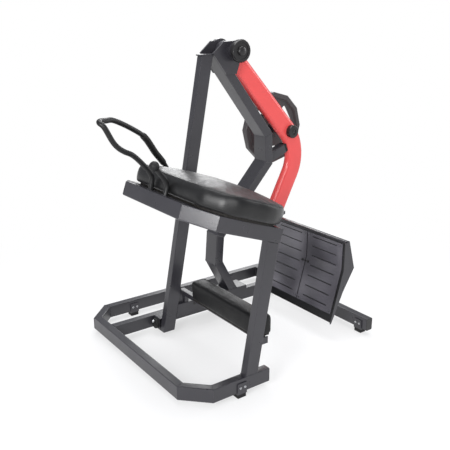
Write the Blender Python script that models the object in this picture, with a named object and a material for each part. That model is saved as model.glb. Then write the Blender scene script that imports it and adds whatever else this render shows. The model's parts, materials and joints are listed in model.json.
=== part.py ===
"""Glute kickback machine with a plate loaded swing arm.

A tubular base carries a leaning post, a zigzag main frame and a near leg.  The swing arm
hangs from a pivot at the top and carries the kick platform at its foot and a weight plate
on a horn.  The user stands on the -Y side, leans on the sloping bench pad facing -X, holds
the handles and pushes the platform towards +X.

Metres, +Z up.  The lengths below are measured from a point on the floor at the middle of
the base; the finished machine is then moved so that the origin is on the floor under the
middle of its whole outline.
"""
import math

import bmesh
import bpy
from mathutils import Matrix, Vector

# Clearance between neighbouring solids, and how far welded shapes run into each other
GAP = 0.0003
WELD = 0.001

# Base tubes: outer faces of the frame seen from above, and their section
BASE_TUBE_WIDTH = 0.050
BASE_TUBE_HEIGHT = 0.080
BASE_UNDERSIDE = 0.032
BASE_FRONT = -0.718
BASE_REAR = 0.710
BASE_NEAR = -0.634
BASE_FAR = 0.633
BASE_CHAMFER = 0.135
NEAR_RAIL_REAR = -0.216
CROSSBAR_NEAR_END = -0.537

# Steel tube walls and corners
TUBE_WALL = 0.003
TUBE_CORNER = 0.006
CORNER_STEPS = 2

# Facets round a turned piece
ROUND_SEGMENTS = 32
PLUG_FLANGE = 0.003
PLUG_DEPTH = 0.012

# Feet: where each bracket sits along its rail, and its sizes
FOOT_LENGTH = 0.060
FOOT_PLATE_HEIGHT = 0.064
FOOT_PLATE_THICKNESS = 0.006
FOOT_FLANGE_WIDTH = 0.046
RUBBER_FOOT_INSET = 0.003
NEAR_FOOT_X = -0.4015
FAR_FOOT_X = -0.385
REAR_FOOT_NEAR_Y = -0.470
REAR_FOOT_FAR_Y = 0.500
SCREW_SPACING = 0.030
SCREW_RADIUS = 0.0065
SCREW_HEAD_HEIGHT = 0.005

# Post and near leg
POST_DEPTH = 0.080
POST_WIDTH = 0.050
POST_FOOT_X = -0.393
POST_FOOT_Z = 0.036
POST_TOP = 1.710
POST_LEAN = math.radians(10.46)
LEG_FOOT_X = -0.3745
LEG_LEAN = math.radians(10.24)

# Main frame: front edge of the zigzag, side faces and depth of its tube
MAST_NEAR = 0.183
MAST_WIDTH = 0.120
MAST_DEPTH = 0.060
MAST_ELBOW_TOP = (0.402, 1.190)
MAST_ELBOW_LOW = (0.407, 1.030)
MAST_SHIN_TOP = (0.018, 0.600)
MAST_SHIN_LOW = (0.004, 0.400)
MAST_FOOT_X = 0.112

# Raised beam under the main frame, on its base plate
BEAM_HEIGHT = 0.080
BEAM_REAR = 0.260
BEAM_PLATE = 0.008
SPACER_DEPTH = 0.080
SPACER_FRONT = -0.392

# Round rubber buffer on the spacer's front face
BUFFER_RADIUS = 0.033
BUFFER_LENGTH = 0.020

# Stops for the arm
STOP_TUBE_DEPTH = 0.060
STOP_TUBE_HEIGHT = 1.038
STOP_TUBE_RISE = math.radians(22)
STOP_RUBBER_THICKNESS = 0.016
BUMPER_RADIUS = 0.020
BUMPER_DROP = 0.520
BUMPER_ARM_CLEARANCE = 0.004

# Top pivot
PIVOT_X = 0.146
PIVOT_Z = 1.735
CHEEK_THICKNESS = 0.012
CHEEK_NOSE = 0.058
CHEEK_FOOT = 1.600
CHEEK_FRONT = (-0.012, 1.722)
CHEEK_SHOULDER = (0.064, 1.788)
CAP_PLATE_OVERHANG = 0.008
CAP_PLATE_REAR = 0.062
CAP_PLATE_THICKNESS = 0.008
HOUSING_LENGTH = 0.038
HOUSING_RADIUS = 0.050
FAR_HOUSING_LENGTH = 0.030
BEARING_RADIUS = 0.031
BEARING_WIDTH = 0.016
BEARING_SHOULDER = 0.021
SHAFT_RADIUS = 0.015
DISC_RADIUS = 0.067
DISC_THICKNESS = 0.030
FAR_COVER_RADIUS = 0.046
FAR_COVER_THICKNESS = 0.012
DISC_HUB_RADIUS = 0.029
DISC_HUB_HEIGHT = 0.012
HUB_RADIUS = 0.054
HUB_SIDE_CLEARANCE = 0.0015
NECK_WIDTH = 0.100
NECK_THICKNESS = 0.054

# Swing arm: flat oval tube, two straight runs joined by one bend; its middle line passes
# a little below the pivot
ARM_WIDTH = 0.136
ARM_THICKNESS = 0.060
ARM_WALL = 0.004
ARM_START = 0.090
ARM_DROP = 0.009
ARM_UPPER_ANGLE = math.radians(46.87)
ARM_UPPER_RUN = 0.896
ARM_TURN = math.radians(70.13)
ARM_BEND_RADIUS = 0.260
ARM_OVAL_STEPS = 6
ARM_BEND_STEPS = 11

# Loading horn, its cap on the near side of the arm, and the weight plate
HORN_ALONG = 0.731
HORN_SLEEVE_RADIUS = 0.030
HORN_COLLAR_RADIUS = 0.055
HORN_COLLAR_THICKNESS = 0.008
HORN_RADIUS = 0.0248
HORN_FREE_LENGTH = 0.130
SIDE_CAP_RADIUS = 0.043
SIDE_CAP_LENGTH = 0.0297
PLATE_RADIUS = 0.243
PLATE_THICKNESS = 0.045
PLATE_NEAR = 0.390
PLATE_SIDES = 12
PLATE_RIM = 0.030
PLATE_RECESS = 0.012
PLATE_BORE_CLEARANCE = 0.0005
GRIP_COUNT = 3
GRIP_DISTANCE = 0.150
GRIP_LENGTH = 0.150
GRIP_WIDTH = 0.044

# Bench: slope, front top edge and plan of its frame, measured down the slope
BENCH_SLOPE = math.radians(19.5)
BENCH_FRONT = (-0.640, 1.067)
BENCH_TUBE_WIDTH = 0.050
BENCH_TUBE_HEIGHT = 0.080
BENCH_CHAMFER_ALONG = 0.108
BENCH_CHAMFER_ACROSS = 0.170
BENCH_FAR_CHAMFER_ALONG = 0.045
BENCH_FAR_CHAMFER_ACROSS = 0.071
BENCH_LENGTH = 0.5304
BENCH_PAD_FRONT = 0.041
BENCH_PAD_REAR = 0.606
BENCH_PAD_NEAR = -0.680
BENCH_PAD_FAR = 0.145
BENCH_PAD_THICKNESS = 0.100
BENCH_PAD_CROWN = 0.036
BENCH_PAD_BULGE = 0.003
BENCH_PAD_POINTS = 60
PAD_BOARD_THICKNESS = 0.012
PAD_BOARD_INSET = 0.022

# Handles: round bar, feet on the bench's front rail and far rail
HANDLE_RADIUS = 0.014
HANDLE_SIDES = 10
HANDLE_STEPS = 2
LOOP_FOOT_Y = -0.115
SHORT_FOOT_Y = -0.262
LOOP_FAR_FOOT_ALONG = 0.312
SHORT_CAP_RADIUS = 0.026

# Knee pad: box section roll across the machine, and its support
KNEE_FRONT = -0.270
KNEE_REAR = -0.160
KNEE_BOTTOM = 0.288
KNEE_TOP = 0.405
KNEE_FAR = 0.050
KNEE_BOARD_THICKNESS = 0.012
KNEE_TUBE_WIDTH = 0.040
KNEE_TUBE_HEIGHT = 0.030
KNEE_TUBE_X = -0.215
KNEE_TUBE_OVERHANG = 0.060
KNEE_PLATE_THICKNESS = 0.006

# Kick platform: front line of the panels seen from the side
PLATFORM_FRONT = 0.490
PLATFORM_TOP = 0.625
PLATFORM_CREASE = 0.462
PLATFORM_LEAN = math.radians(15.6)
PLATFORM_NEAR = -0.477
PLATFORM_FAR = 0.180
PANEL_THICKNESS = 0.004
PANEL_BOTTOM = 0.186
PANEL_RIM = 0.018
PANEL_SEAM = 0.008
SLOT_COUNT = 7
SLOT_FIRST = 0.604
SLOT_LAST = 0.225
SLOT_HEIGHT = 0.007
SLOT_MARGIN = 0.046
TRAY_THICKNESS = 0.003
TRAY_TOP = 0.634
TRAY_BOTTOM = 0.138
SIDE_PLATE_THICKNESS = 0.004
TOP_BAR_DEPTH = 0.030
TOP_BAR_HEIGHT = 0.040
TOP_BAR_TOP = 0.645
ARM_FOOT_PLATE = 0.008
PANEL_SCREW_RADIUS = 0.005
PANEL_SCREW_INSET = 0.014

# Places worked out from the sizes above
BASE_TOP = BASE_UNDERSIDE + BASE_TUBE_HEIGHT
MAST_FAR = MAST_NEAR + MAST_WIDTH
MAST_MIDDLE = MAST_NEAR + MAST_WIDTH / 2
BEAM_PLATE_TOP = BASE_TOP + GAP + BEAM_PLATE
BEAM_TOP = BEAM_PLATE_TOP + GAP + BEAM_HEIGHT
PIVOT = Vector((PIVOT_X, MAST_MIDDLE, PIVOT_Z))
HORN_X = PIVOT_X + HORN_ALONG * math.cos(ARM_UPPER_ANGLE)
HORN_Z = PIVOT_Z - HORN_ALONG * math.sin(ARM_UPPER_ANGLE)
ARM_NEAR = MAST_MIDDLE - ARM_THICKNESS / 2
ARM_FAR = MAST_MIDDLE + ARM_THICKNESS / 2
BENCH_ALONG = Vector((math.cos(BENCH_SLOPE), 0, -math.sin(BENCH_SLOPE)))
BENCH_UP = Vector((math.sin(BENCH_SLOPE), 0, math.cos(BENCH_SLOPE)))
BENCH_NEAR = BASE_NEAR
BENCH_FAR = MAST_NEAR - GAP
X_AXIS = Vector((1, 0, 0))
Y_AXIS = Vector((0, 1, 0))
Z_AXIS = Vector((0, 0, 1))

POWDER_COAT = ("charcoal powder coat", (0.045, 0.046, 0.052), 0.45, 0.3)
RED_PAINT = ("red paint", (0.80, 0.06, 0.06), 0.30, 0.1)
LEATHER = ("black leather", (0.018, 0.018, 0.018), 0.45, 0.0)
RUBBER = ("black rubber", (0.012, 0.012, 0.013), 0.75, 0.0)
PLASTIC = ("black plastic", (0.020, 0.020, 0.022), 0.40, 0.0)
BRIGHT_STEEL = ("zinc steel", (0.62, 0.63, 0.65), 0.30, 1.0)
GREY_PANEL = ("grey panel", (0.16, 0.16, 0.18), 0.35, 0.6)
PLYWOOD = ("board", (0.10, 0.07, 0.045), 0.8, 0.0)


def clear_scene():
    for old in list(bpy.data.objects):
        bpy.data.objects.remove(old, do_unlink=True)


def material(look):
    name, colour, roughness, metallic = look
    found = bpy.data.materials.get(name)
    if found is not None:
        return found
    made = bpy.data.materials.new(name)
    made.use_nodes = True
    shader = made.node_tree.nodes["Principled BSDF"]
    shader.inputs["Base Color"].default_value = (*colour, 1)
    shader.inputs["Roughness"].default_value = roughness
    shader.inputs["Metallic"].default_value = metallic
    return made


def empty(name, place, parent=None):
    holder = bpy.data.objects.new(name, None)
    holder.location = place
    holder.parent = parent
    bpy.context.collection.objects.link(holder)
    return holder


def make_object(name, bm, look, parent, pivot=Vector((0, 0, 0)), smooth=False):
    """Turn a bmesh into a named object whose origin is the pivot of its body."""
    bmesh.ops.recalc_face_normals(bm, faces=bm.faces)
    bmesh.ops.translate(bm, verts=bm.verts, vec=-pivot)
    mesh = bpy.data.meshes.new(name)
    bm.to_mesh(mesh)
    bm.free()
    mesh.materials.append(material(look))
    if smooth:
        mesh.shade_smooth()
        mesh.set_sharp_from_angle(angle=math.radians(35))
    made = bpy.data.objects.new(name, mesh)
    made.parent = parent
    bpy.context.collection.objects.link(made)
    return made


def cut(target, cutter, operation="DIFFERENCE"):
    """Add a Boolean with another object, which is then only a guide."""
    modifier = target.modifiers.new(cutter.name, "BOOLEAN")
    modifier.operation = operation
    modifier.solver = "EXACT"
    modifier.object = cutter
    cutter.hide_render = True
    cutter.display_type = "WIRE"


# Rings, bridges and solids

def add_ring(bm, points):
    return [bm.verts.new(point) for point in points]


def bridge(bm, first, second):
    count = len(first)
    for i in range(count):
        j = (i + 1) % count
        bm.faces.new((first[i], first[j], second[j], second[i]))


def solid(bm, rings):
    """A closed body through a list of rings with flat ends."""
    loops = [add_ring(bm, ring) for ring in rings]
    for first, second in zip(loops, loops[1:]):
        bridge(bm, first, second)
    bm.faces.new(list(reversed(loops[0])))
    bm.faces.new(loops[-1])


def hollow(bm, outer_rings, inner_rings, closed_end=False):
    """A tube with open ends, or with its last end closed."""
    outer = [add_ring(bm, ring) for ring in outer_rings]
    inner = [add_ring(bm, ring) for ring in inner_rings]
    for first, second in zip(outer, outer[1:]):
        bridge(bm, first, second)
    for first, second in zip(inner, inner[1:]):
        bridge(bm, second, first)
    bridge(bm, inner[0], outer[0])
    if closed_end:
        bm.faces.new(outer[-1])
        bm.faces.new(inner[-1])
    else:
        bridge(bm, outer[-1], inner[-1])


def prism(bm, outline, offset):
    """A flat outline of 3D points pushed along an offset."""
    solid(bm, [outline, [point + offset for point in outline]])


def xz_outline(outline, y):
    return [Vector((x, y, z)) for x, z in outline]


def block(bm, low, high):
    corners = ((low[0], low[1]), (high[0], low[1]), (high[0], high[1]), (low[0], high[1]))
    outline = [Vector((x, y, low[2])) for x, y in corners]
    prism(bm, outline, Z_AXIS * (high[2] - low[2]))


def turned(bm, profile, centre, axis, segments, closed=False):
    """Turn a profile of (radius, distance along the axis) about an axis."""
    axis = axis.normalized()
    side = Z_AXIS if abs(axis.x) > 0.5 else X_AXIS
    side = (side - axis * side.dot(axis)).normalized()
    other = axis.cross(side)
    rings = []
    for radius, distance in profile:
        middle = centre + axis * distance
        if radius == 0:
            rings.append([bm.verts.new(middle)])
            continue
        ring = []
        for step in range(segments):
            angle = 2 * math.pi * step / segments
            ring.append(bm.verts.new(middle + (side * math.cos(angle) + other * math.sin(angle)) * radius))
        rings.append(ring)
    followers = rings[1:] + rings[:1] if closed else rings[1:]
    for first, second in zip(rings, followers):
        join_rings(bm, first, second)
    if not closed:
        for ring in (rings[0], rings[-1]):
            if len(ring) > 1:
                bm.faces.new(ring)


def join_rings(bm, first, second):
    if len(first) == 1:
        first, second = second, first
    if len(second) > 1:
        bridge(bm, first, second)
        return
    for a, b in zip(first, first[1:] + first[:1]):
        bm.faces.new((a, b, second[0]))


# Tube sections: (low, high) across and (low, high) along the up direction

def section_outline(box, radius):
    left, right, low, high = box
    corners = (
        (right - radius, high - radius),
        (left + radius, high - radius),
        (left + radius, low + radius),
        (right - radius, low + radius),
    )
    outline = []
    for quarter, (u, v) in enumerate(corners):
        for step in range(CORNER_STEPS + 1):
            angle = math.radians(90) * (quarter + step / CORNER_STEPS)
            outline.append((u + radius * math.cos(angle), v + radius * math.sin(angle)))
    return outline


def inset(box, wall):
    left, right, low, high = box
    return (left + wall, right - wall, low + wall, high - wall)


def oval_outline(width, thickness, inset_by=0.0):
    """A flat oval centred on zero: two half circles joined by straight sides."""
    radius = thickness / 2 - inset_by
    reach = (width - thickness) / 2
    outline = []
    for side in (1, -1):
        for step in range(ARM_OVAL_STEPS + 1):
            angle = math.pi * (step / ARM_OVAL_STEPS - 0.5)
            outline.append((side * (reach + radius * math.cos(angle)), side * radius * math.sin(angle)))
    return outline


def cut_across(side, direction):
    """The section's across vector where the tube is cut along a given direction."""
    if direction is None:
        return side
    direction = direction.normalized()
    return direction / direction.dot(side)


def corner_across(before, after):
    """The across vector of a mitre between two straight runs."""
    return (before + after) / (1 + before.dot(after))


def mitred(points, up, first_cut=None, last_cut=None):
    """Stations (point, across, up) along a flat path, with mitres at its corners."""
    sides = [(b - a).normalized().cross(up) for a, b in zip(points, points[1:])]
    stations = [(points[0], cut_across(sides[0], first_cut), up)]
    for point, before, after in zip(points[1:], sides, sides[1:]):
        stations.append((point, corner_across(before, after), up))
    stations.append((points[-1], cut_across(sides[-1], last_cut), up))
    return stations


def mitred_loop(points, up):
    """Stations round a closed flat path, the first one repeated at the end."""
    sides = [(b - a).normalized().cross(up) for a, b in zip(points, points[1:] + points[:1])]
    pairs = zip(points, sides[-1:] + sides, sides)
    stations = [(point, corner_across(before, after), up) for point, before, after in pairs]
    return stations + stations[:1]


def place(station, outline):
    point, across, up = station
    return [point + across * u + up * v for u, v in outline]


def moved(station, offset):
    point, across, up = station
    return (point + offset, across, up)


def shortened(stations, start_gap, end_gap):
    """The stations of a tube, its two ends drawn in along its length."""
    first = (stations[1][0] - stations[0][0]).normalized()
    last = (stations[-1][0] - stations[-2][0]).normalized()
    start = moved(stations[0], first * start_gap)
    end = moved(stations[-1], last * -end_gap)
    return [start] + stations[1:-1] + [end]


def box_tube(bm, stations, box, closed_end=False):
    outer = section_outline(box, TUBE_CORNER)
    inner = section_outline(inset(box, TUBE_WALL), TUBE_CORNER - TUBE_WALL)
    inner_stations = shortened(stations, 0, TUBE_WALL) if closed_end else stations
    outer_rings = [place(s, outer) for s in stations]
    hollow(bm, outer_rings, [place(s, inner) for s in inner_stations], closed_end)


def tube_object(name, stations, box, parent, gaps=(0, 0), closed_end=False):
    bm = bmesh.new()
    box_tube(bm, shortened(stations, *gaps), box, closed_end)
    return make_object(name, bm, POWDER_COAT, parent)


def weld_on(target, guide, look, parent, pivot=Vector((0, 0, 0))):
    """Join more shapes, each of which runs into the target, to make one body."""
    cut(target, make_object(target.name + "_weld_guide", guide, look, parent, pivot), "UNION")


def end_plug(name, station, outward, box, parent):
    """A plastic plug pushed into a tube's end, with a flange over the wall."""
    outer = section_outline(box, TUBE_CORNER)
    inner = section_outline(inset(box, TUBE_WALL + GAP), TUBE_CORNER - TUBE_WALL)
    rings = [
        place(moved(station, outward * (GAP + PLUG_FLANGE)), outer),
        place(moved(station, outward * GAP), outer),
        place(moved(station, outward * GAP), inner),
        place(moved(station, outward * -PLUG_DEPTH), inner),
    ]
    bm = bmesh.new()
    solid(bm, rings)
    make_object(name, bm, PLASTIC, parent)


# Base

BASE_BOX = (0, BASE_TUBE_WIDTH, BASE_UNDERSIDE, BASE_TOP)


def base_stations():
    outline = (
        (NEAR_RAIL_REAR, BASE_NEAR),
        (BASE_FRONT + BASE_CHAMFER, BASE_NEAR),
        (BASE_FRONT, BASE_NEAR + BASE_CHAMFER),
        (BASE_FRONT, BASE_FAR - BASE_CHAMFER),
        (BASE_FRONT + BASE_CHAMFER, BASE_FAR),
        (BASE_REAR, BASE_FAR),
    )
    return mitred([Vector((x, y, 0)) for x, y in outline], Z_AXIS)


def straight_stations(start, end, up):
    return mitred([Vector(start), Vector(end)], up)


def middle_rail_stations():
    front = BASE_FRONT + BASE_TUBE_WIDTH + GAP
    rear = BASE_REAR - BASE_TUBE_WIDTH - GAP
    y = MAST_FAR + GAP + BASE_TUBE_WIDTH
    return straight_stations((front, y, 0), (rear, y, 0), Z_AXIS)


def crossbar_stations():
    far = BASE_FAR - BASE_TUBE_WIDTH - GAP
    return straight_stations((BASE_REAR, far, 0), (BASE_REAR, CROSSBAR_NEAR_END, 0), Z_AXIS)


def build_base(root):
    stations = base_stations()
    half = GAP / 2
    tube_object("near_rail", stations[:3], BASE_BOX, root, (0, half))
    tube_object("front_bar", stations[2:4], BASE_BOX, root, (half, half))
    tube_object("far_rail", stations[3:], BASE_BOX, root, (half, 0))
    tube_object("middle_rail", middle_rail_stations(), BASE_BOX, root)
    tube_object("rear_crossbar", crossbar_stations(), BASE_BOX, root)
    end_plug("near_rail_cap", stations[0], X_AXIS, BASE_BOX, root)
    end_plug("far_rail_cap", stations[-1], X_AXIS, BASE_BOX, root)
    end_plug("crossbar_cap", crossbar_stations()[-1], -Y_AXIS, BASE_BOX, root)


# Feet

def foot_bracket(bm, face, outward, along):
    """An angle bracket: a plate on the rail's side and a flange under the rail."""
    inner = face + outward * GAP
    flange_top = BASE_UNDERSIDE - GAP
    profile = (
        (0, flange_top - FOOT_PLATE_THICKNESS + FOOT_PLATE_HEIGHT),
        (FOOT_PLATE_THICKNESS, flange_top - FOOT_PLATE_THICKNESS + FOOT_PLATE_HEIGHT),
        (FOOT_PLATE_THICKNESS, flange_top - FOOT_PLATE_THICKNESS),
        (-FOOT_FLANGE_WIDTH, flange_top - FOOT_PLATE_THICKNESS),
        (-FOOT_FLANGE_WIDTH, flange_top),
        (0, flange_top),
    )
    start = inner - along * FOOT_LENGTH / 2
    prism(bm, [start + outward * u + Z_AXIS * z for u, z in profile], along * FOOT_LENGTH)


def rubber_foot(bm, face, outward, along):
    top = BASE_UNDERSIDE - 2 * GAP - FOOT_PLATE_THICKNESS
    half = FOOT_LENGTH / 2 - RUBBER_FOOT_INSET
    near = face + outward * (FOOT_PLATE_THICKNESS - RUBBER_FOOT_INSET)
    deep = face - outward * (FOOT_FLANGE_WIDTH - RUBBER_FOOT_INSET)
    chamfer = RUBBER_FOOT_INSET
    rings = []
    for z, grow in ((0, 0), (chamfer, chamfer), (top, chamfer)):
        rings.append([
            near + outward * (grow - chamfer) - along * (half - chamfer + grow) + Z_AXIS * z,
            near + outward * (grow - chamfer) + along * (half - chamfer + grow) + Z_AXIS * z,
            deep - outward * (grow - chamfer) + along * (half - chamfer + grow) + Z_AXIS * z,
            deep - outward * (grow - chamfer) - along * (half - chamfer + grow) + Z_AXIS * z,
        ])
    solid(bm, rings)


def screw_profile(radius, height, start=-WELD):
    """A round head with a socket, from its seat outwards."""
    return [
        (0, start),
        (radius, start),
        (radius, height * 0.5),
        (radius * 0.8, height * 0.9),
        (radius * 0.5, height),
        (radius * 0.45, height * 0.6),
        (0, height * 0.6),
    ]


def feet_places():
    """Name, point on the rail's face, outward direction and along direction for each foot."""
    crossbar_face = BASE_REAR - BASE_TUBE_WIDTH
    return (
        ("near", Vector((NEAR_FOOT_X, BASE_NEAR, 0)), -Y_AXIS, X_AXIS),
        ("far", Vector((FAR_FOOT_X, BASE_FAR - BASE_TUBE_WIDTH, 0)), -Y_AXIS, X_AXIS),
        ("rear_near", Vector((crossbar_face, REAR_FOOT_NEAR_Y, 0)), -X_AXIS, Y_AXIS),
        ("rear_far", Vector((crossbar_face, REAR_FOOT_FAR_Y, 0)), -X_AXIS, Y_AXIS),
    )


def build_feet(root):
    height = BASE_UNDERSIDE - FOOT_PLATE_THICKNESS + FOOT_PLATE_HEIGHT * 0.62
    for name, face, outward, along in feet_places():
        bm = bmesh.new()
        foot_bracket(bm, face, outward, along)
        bracket = make_object(name + "_foot_bracket", bm, POWDER_COAT, root)
        seat = face + outward * (GAP + FOOT_PLATE_THICKNESS) + Z_AXIS * height
        screws = bmesh.new()
        for side in (-1, 1):
            spot = seat + along * side * SCREW_SPACING / 2
            turned(screws, screw_profile(SCREW_RADIUS, SCREW_HEAD_HEIGHT), spot, outward, 12)
        weld_on(bracket, screws, BRIGHT_STEEL, root)
        bm = bmesh.new()
        rubber_foot(bm, face, outward, along)
        make_object(name + "_rubber_foot", bm, RUBBER, root)


# Post, near leg, spacer and buffer

def leaning_edge(foot_x, foot_z, lean, z):
    return foot_x + math.tan(lean) * (z - foot_z)


def post_front(z):
    return leaning_edge(POST_FOOT_X, POST_FOOT_Z, POST_LEAN, z)


def post_rear(z):
    return post_front(z) + POST_DEPTH / math.cos(POST_LEAN)


def spacer_middle():
    return (MAST_NEAR + POST_WIDTH + MAST_FAR) / 2


def build_post(root):
    top = Vector((post_front(POST_TOP), 0, POST_TOP))
    foot = Vector((POST_FOOT_X, 0, POST_FOOT_Z))
    stations = mitred([top, foot], Y_AXIS, X_AXIS, X_AXIS)
    box = (0, POST_DEPTH, MAST_NEAR, MAST_NEAR + POST_WIDTH)
    tube_object("tall_post", stations, box, root)


def leg_stations():
    foot_z = BASE_TOP + GAP
    foot = Vector((LEG_FOOT_X, 0, foot_z))
    rise = Vector((math.sin(LEG_LEAN), 0, math.cos(LEG_LEAN)))
    underside = bench_point(0, 0, -BENCH_TUBE_HEIGHT - GAP)
    climb = (underside - foot).dot(BENCH_UP) / rise.dot(BENCH_UP)
    return mitred([foot + rise * climb, foot], Y_AXIS, BENCH_ALONG, X_AXIS)


def build_near_leg(root):
    box = (0, POST_DEPTH, BASE_NEAR, BASE_NEAR + BASE_TUBE_WIDTH)
    tube_object("near_leg", leg_stations(), box, root)


def build_spacer(root):
    start = (SPACER_FRONT, MAST_NEAR + POST_WIDTH + GAP, 0)
    end = (SPACER_FRONT, MAST_FAR, 0)
    stations = straight_stations(start, end, Z_AXIS)
    box = (0, SPACER_DEPTH, BASE_UNDERSIDE, BASE_TOP)
    tube_object("post_spacer_tube", stations, box, root)
    bm = bmesh.new()
    centre = Vector((SPACER_FRONT - GAP, spacer_middle(), BASE_TOP - BASE_TUBE_HEIGHT / 2))
    length = BUFFER_LENGTH
    bolt = screw_profile(BUFFER_RADIUS * 0.3, SCREW_HEAD_HEIGHT, 0)
    profile = [
        (BUFFER_RADIUS, 0),
        (BUFFER_RADIUS, length * 0.7),
        (BUFFER_RADIUS * 0.93, length * 0.93),
        (BUFFER_RADIUS * 0.8, length),
    ]
    profile += [(radius, length + rise) for radius, rise in bolt[1:]]
    turned(bm, profile, centre, -X_AXIS, 20)
    make_object("front_buffer", bm, RUBBER, root, smooth=True)


# Raised beam and main frame

def build_beam(root):
    """The box beam behind the post, closed at its rear, welded on a plate on the middle rail."""
    front = Vector((post_rear(0) + GAP / math.cos(POST_LEAN), 0, 0))
    post_direction = Vector((math.sin(POST_LEAN), 0, math.cos(POST_LEAN)))
    stations = mitred([front, X_AXIS * BEAM_REAR], Y_AXIS, post_direction)
    box = (BEAM_PLATE_TOP - WELD, BEAM_TOP, MAST_NEAR, MAST_FAR)
    beam = tube_object("raised_beam", stations, box, root, (0, 0), True)
    plate_front = post_rear(BEAM_PLATE_TOP) + WELD
    plate = bmesh.new()
    low = (plate_front, MAST_NEAR + WELD, BASE_TOP + GAP)
    high = (BEAM_REAR - WELD, MAST_FAR + BASE_TUBE_WIDTH, BEAM_PLATE_TOP)
    block(plate, low, high)
    weld_on(beam, plate, POWDER_COAT, root)


def mast_stations():
    points = [
        (post_rear(POST_TOP) + GAP, POST_TOP),
        MAST_ELBOW_TOP,
        MAST_ELBOW_LOW,
        MAST_SHIN_TOP,
        MAST_SHIN_LOW,
        (MAST_FOOT_X, BEAM_TOP + GAP),
    ]
    return mitred(xz_outline(points, 0), Y_AXIS, X_AXIS, X_AXIS)


def build_main_frame(root):
    stations = mast_stations()
    names = (
        "main_frame_upper",
        "main_frame_knee",
        "main_frame_middle",
        "main_frame_shin",
        "main_frame_foot",
    )
    box = (0, MAST_DEPTH, MAST_NEAR, MAST_FAR)
    last = len(names) - 1
    for i, name in enumerate(names):
        gaps = (0 if i == 0 else GAP / 2, 0 if i == last else GAP / 2)
        tube_object(name, stations[i:i + 2], box, root, gaps)


# Swing arm path: straight, bend, straight, in the plane of its middle

def arm_directions():
    lower_angle = ARM_UPPER_ANGLE + ARM_TURN
    upper = Vector((math.cos(ARM_UPPER_ANGLE), 0, -math.sin(ARM_UPPER_ANGLE)))
    lower = Vector((math.cos(lower_angle), 0, -math.sin(lower_angle)))
    return upper, lower


def arm_origin():
    """The point of the upper run's middle line that is nearest to the pivot."""
    upper, _ = arm_directions()
    return PIVOT - upper.cross(Y_AXIS) * ARM_DROP


def bend_centre():
    upper, _ = arm_directions()
    tangent = ARM_BEND_RADIUS * math.tan(ARM_TURN / 2)
    start = arm_origin() + upper * (ARM_UPPER_RUN - tangent)
    return start - upper.cross(Y_AXIS) * ARM_BEND_RADIUS


def arm_stations():
    upper, lower = arm_directions()
    tangent = ARM_BEND_RADIUS * math.tan(ARM_TURN / 2)
    corner = arm_origin() + upper * ARM_UPPER_RUN
    centre = bend_centre()
    stations = [(arm_origin() + upper * ARM_START, upper.cross(Y_AXIS), Y_AXIS)]
    for step in range(ARM_BEND_STEPS + 1):
        angle = ARM_UPPER_ANGLE + ARM_TURN * step / ARM_BEND_STEPS
        across = Vector((math.sin(angle), 0, math.cos(angle)))
        stations.append((centre + across * ARM_BEND_RADIUS, across, Y_AXIS))
    bend_end = corner + lower * tangent
    floor = TOP_BAR_TOP + 2 * GAP + ARM_FOOT_PLATE
    run = (floor - bend_end.z) / lower.z
    stations.append((bend_end + lower * run, cut_across(lower.cross(Y_AXIS), X_AXIS), Y_AXIS))
    return stations


def build_arm_tube(arm):
    bm = bmesh.new()
    outer = oval_outline(ARM_WIDTH, ARM_THICKNESS)
    inner = oval_outline(ARM_WIDTH, ARM_THICKNESS, ARM_WALL)
    stations = arm_stations()
    hollow(bm, [place(s, outer) for s in stations], [place(s, inner) for s in stations])
    make_object("swing_arm_tube", bm, RED_PAINT, arm, PIVOT, smooth=True)


# Stops

def build_stops(root):
    direction = Vector((math.cos(STOP_TUBE_RISE), 0, math.sin(STOP_TUBE_RISE)))
    stations = mast_stations()
    rear_top = stations[1][0] + stations[1][1] * MAST_DEPTH
    rear_low = stations[2][0] + stations[2][1] * MAST_DEPTH
    slope = (rear_top - rear_low).normalized()
    foot = rear_low + slope * ((STOP_TUBE_HEIGHT - rear_low.z) / slope.z) + X_AXIS * GAP
    centre = bend_centre()
    inner_radius = ARM_BEND_RADIUS - ARM_WIDTH / 2 - GAP
    foot = Vector((foot.x, 0, foot.z))
    centre = Vector((centre.x, 0, centre.z))
    half = STOP_TUBE_DEPTH / 2
    side = direction.cross(Y_AXIS)
    hit = circle_distance(foot + side * half, direction, centre, inner_radius)
    hit = min(hit, circle_distance(foot - side * half, direction, centre, inner_radius))
    face = hit - STOP_RUBBER_THICKNESS
    box = (-half, half, ARM_NEAR, ARM_FAR)
    start = (foot, cut_across(side, slope), Y_AXIS)
    end = (foot + direction * face, side, Y_AXIS)
    tube_object("stop_tube", [start, end], box, root)
    build_stop_rubber(root, foot + direction * (face + GAP), direction, side, centre, inner_radius)


def circle_distance(point, direction, centre, radius):
    """How far along a direction a point meets a circle round the centre."""
    offset = point - centre
    along = offset.dot(direction)
    return -along + math.sqrt(along * along - offset.length_squared + radius * radius)


def build_stop_rubber(root, face, direction, side, centre, radius):
    """A rubber block whose outer face follows the inside of the arm's bend."""
    half = STOP_TUBE_DEPTH / 2 - TUBE_CORNER / 2
    outline = [face + side * half, face - side * half]
    steps = 6
    for step in range(steps + 1):
        start = face + side * half * (2 * step / steps - 1)
        outline.append(start + direction * circle_distance(start, direction, centre, radius))
    bm = bmesh.new()
    inset_y = TUBE_CORNER / 2
    outline = [point + Y_AXIS * (ARM_NEAR + inset_y) for point in outline]
    prism(bm, outline, Y_AXIS * (ARM_THICKNESS - 2 * inset_y))
    make_object("stop_rubber", bm, RUBBER, root)


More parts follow.
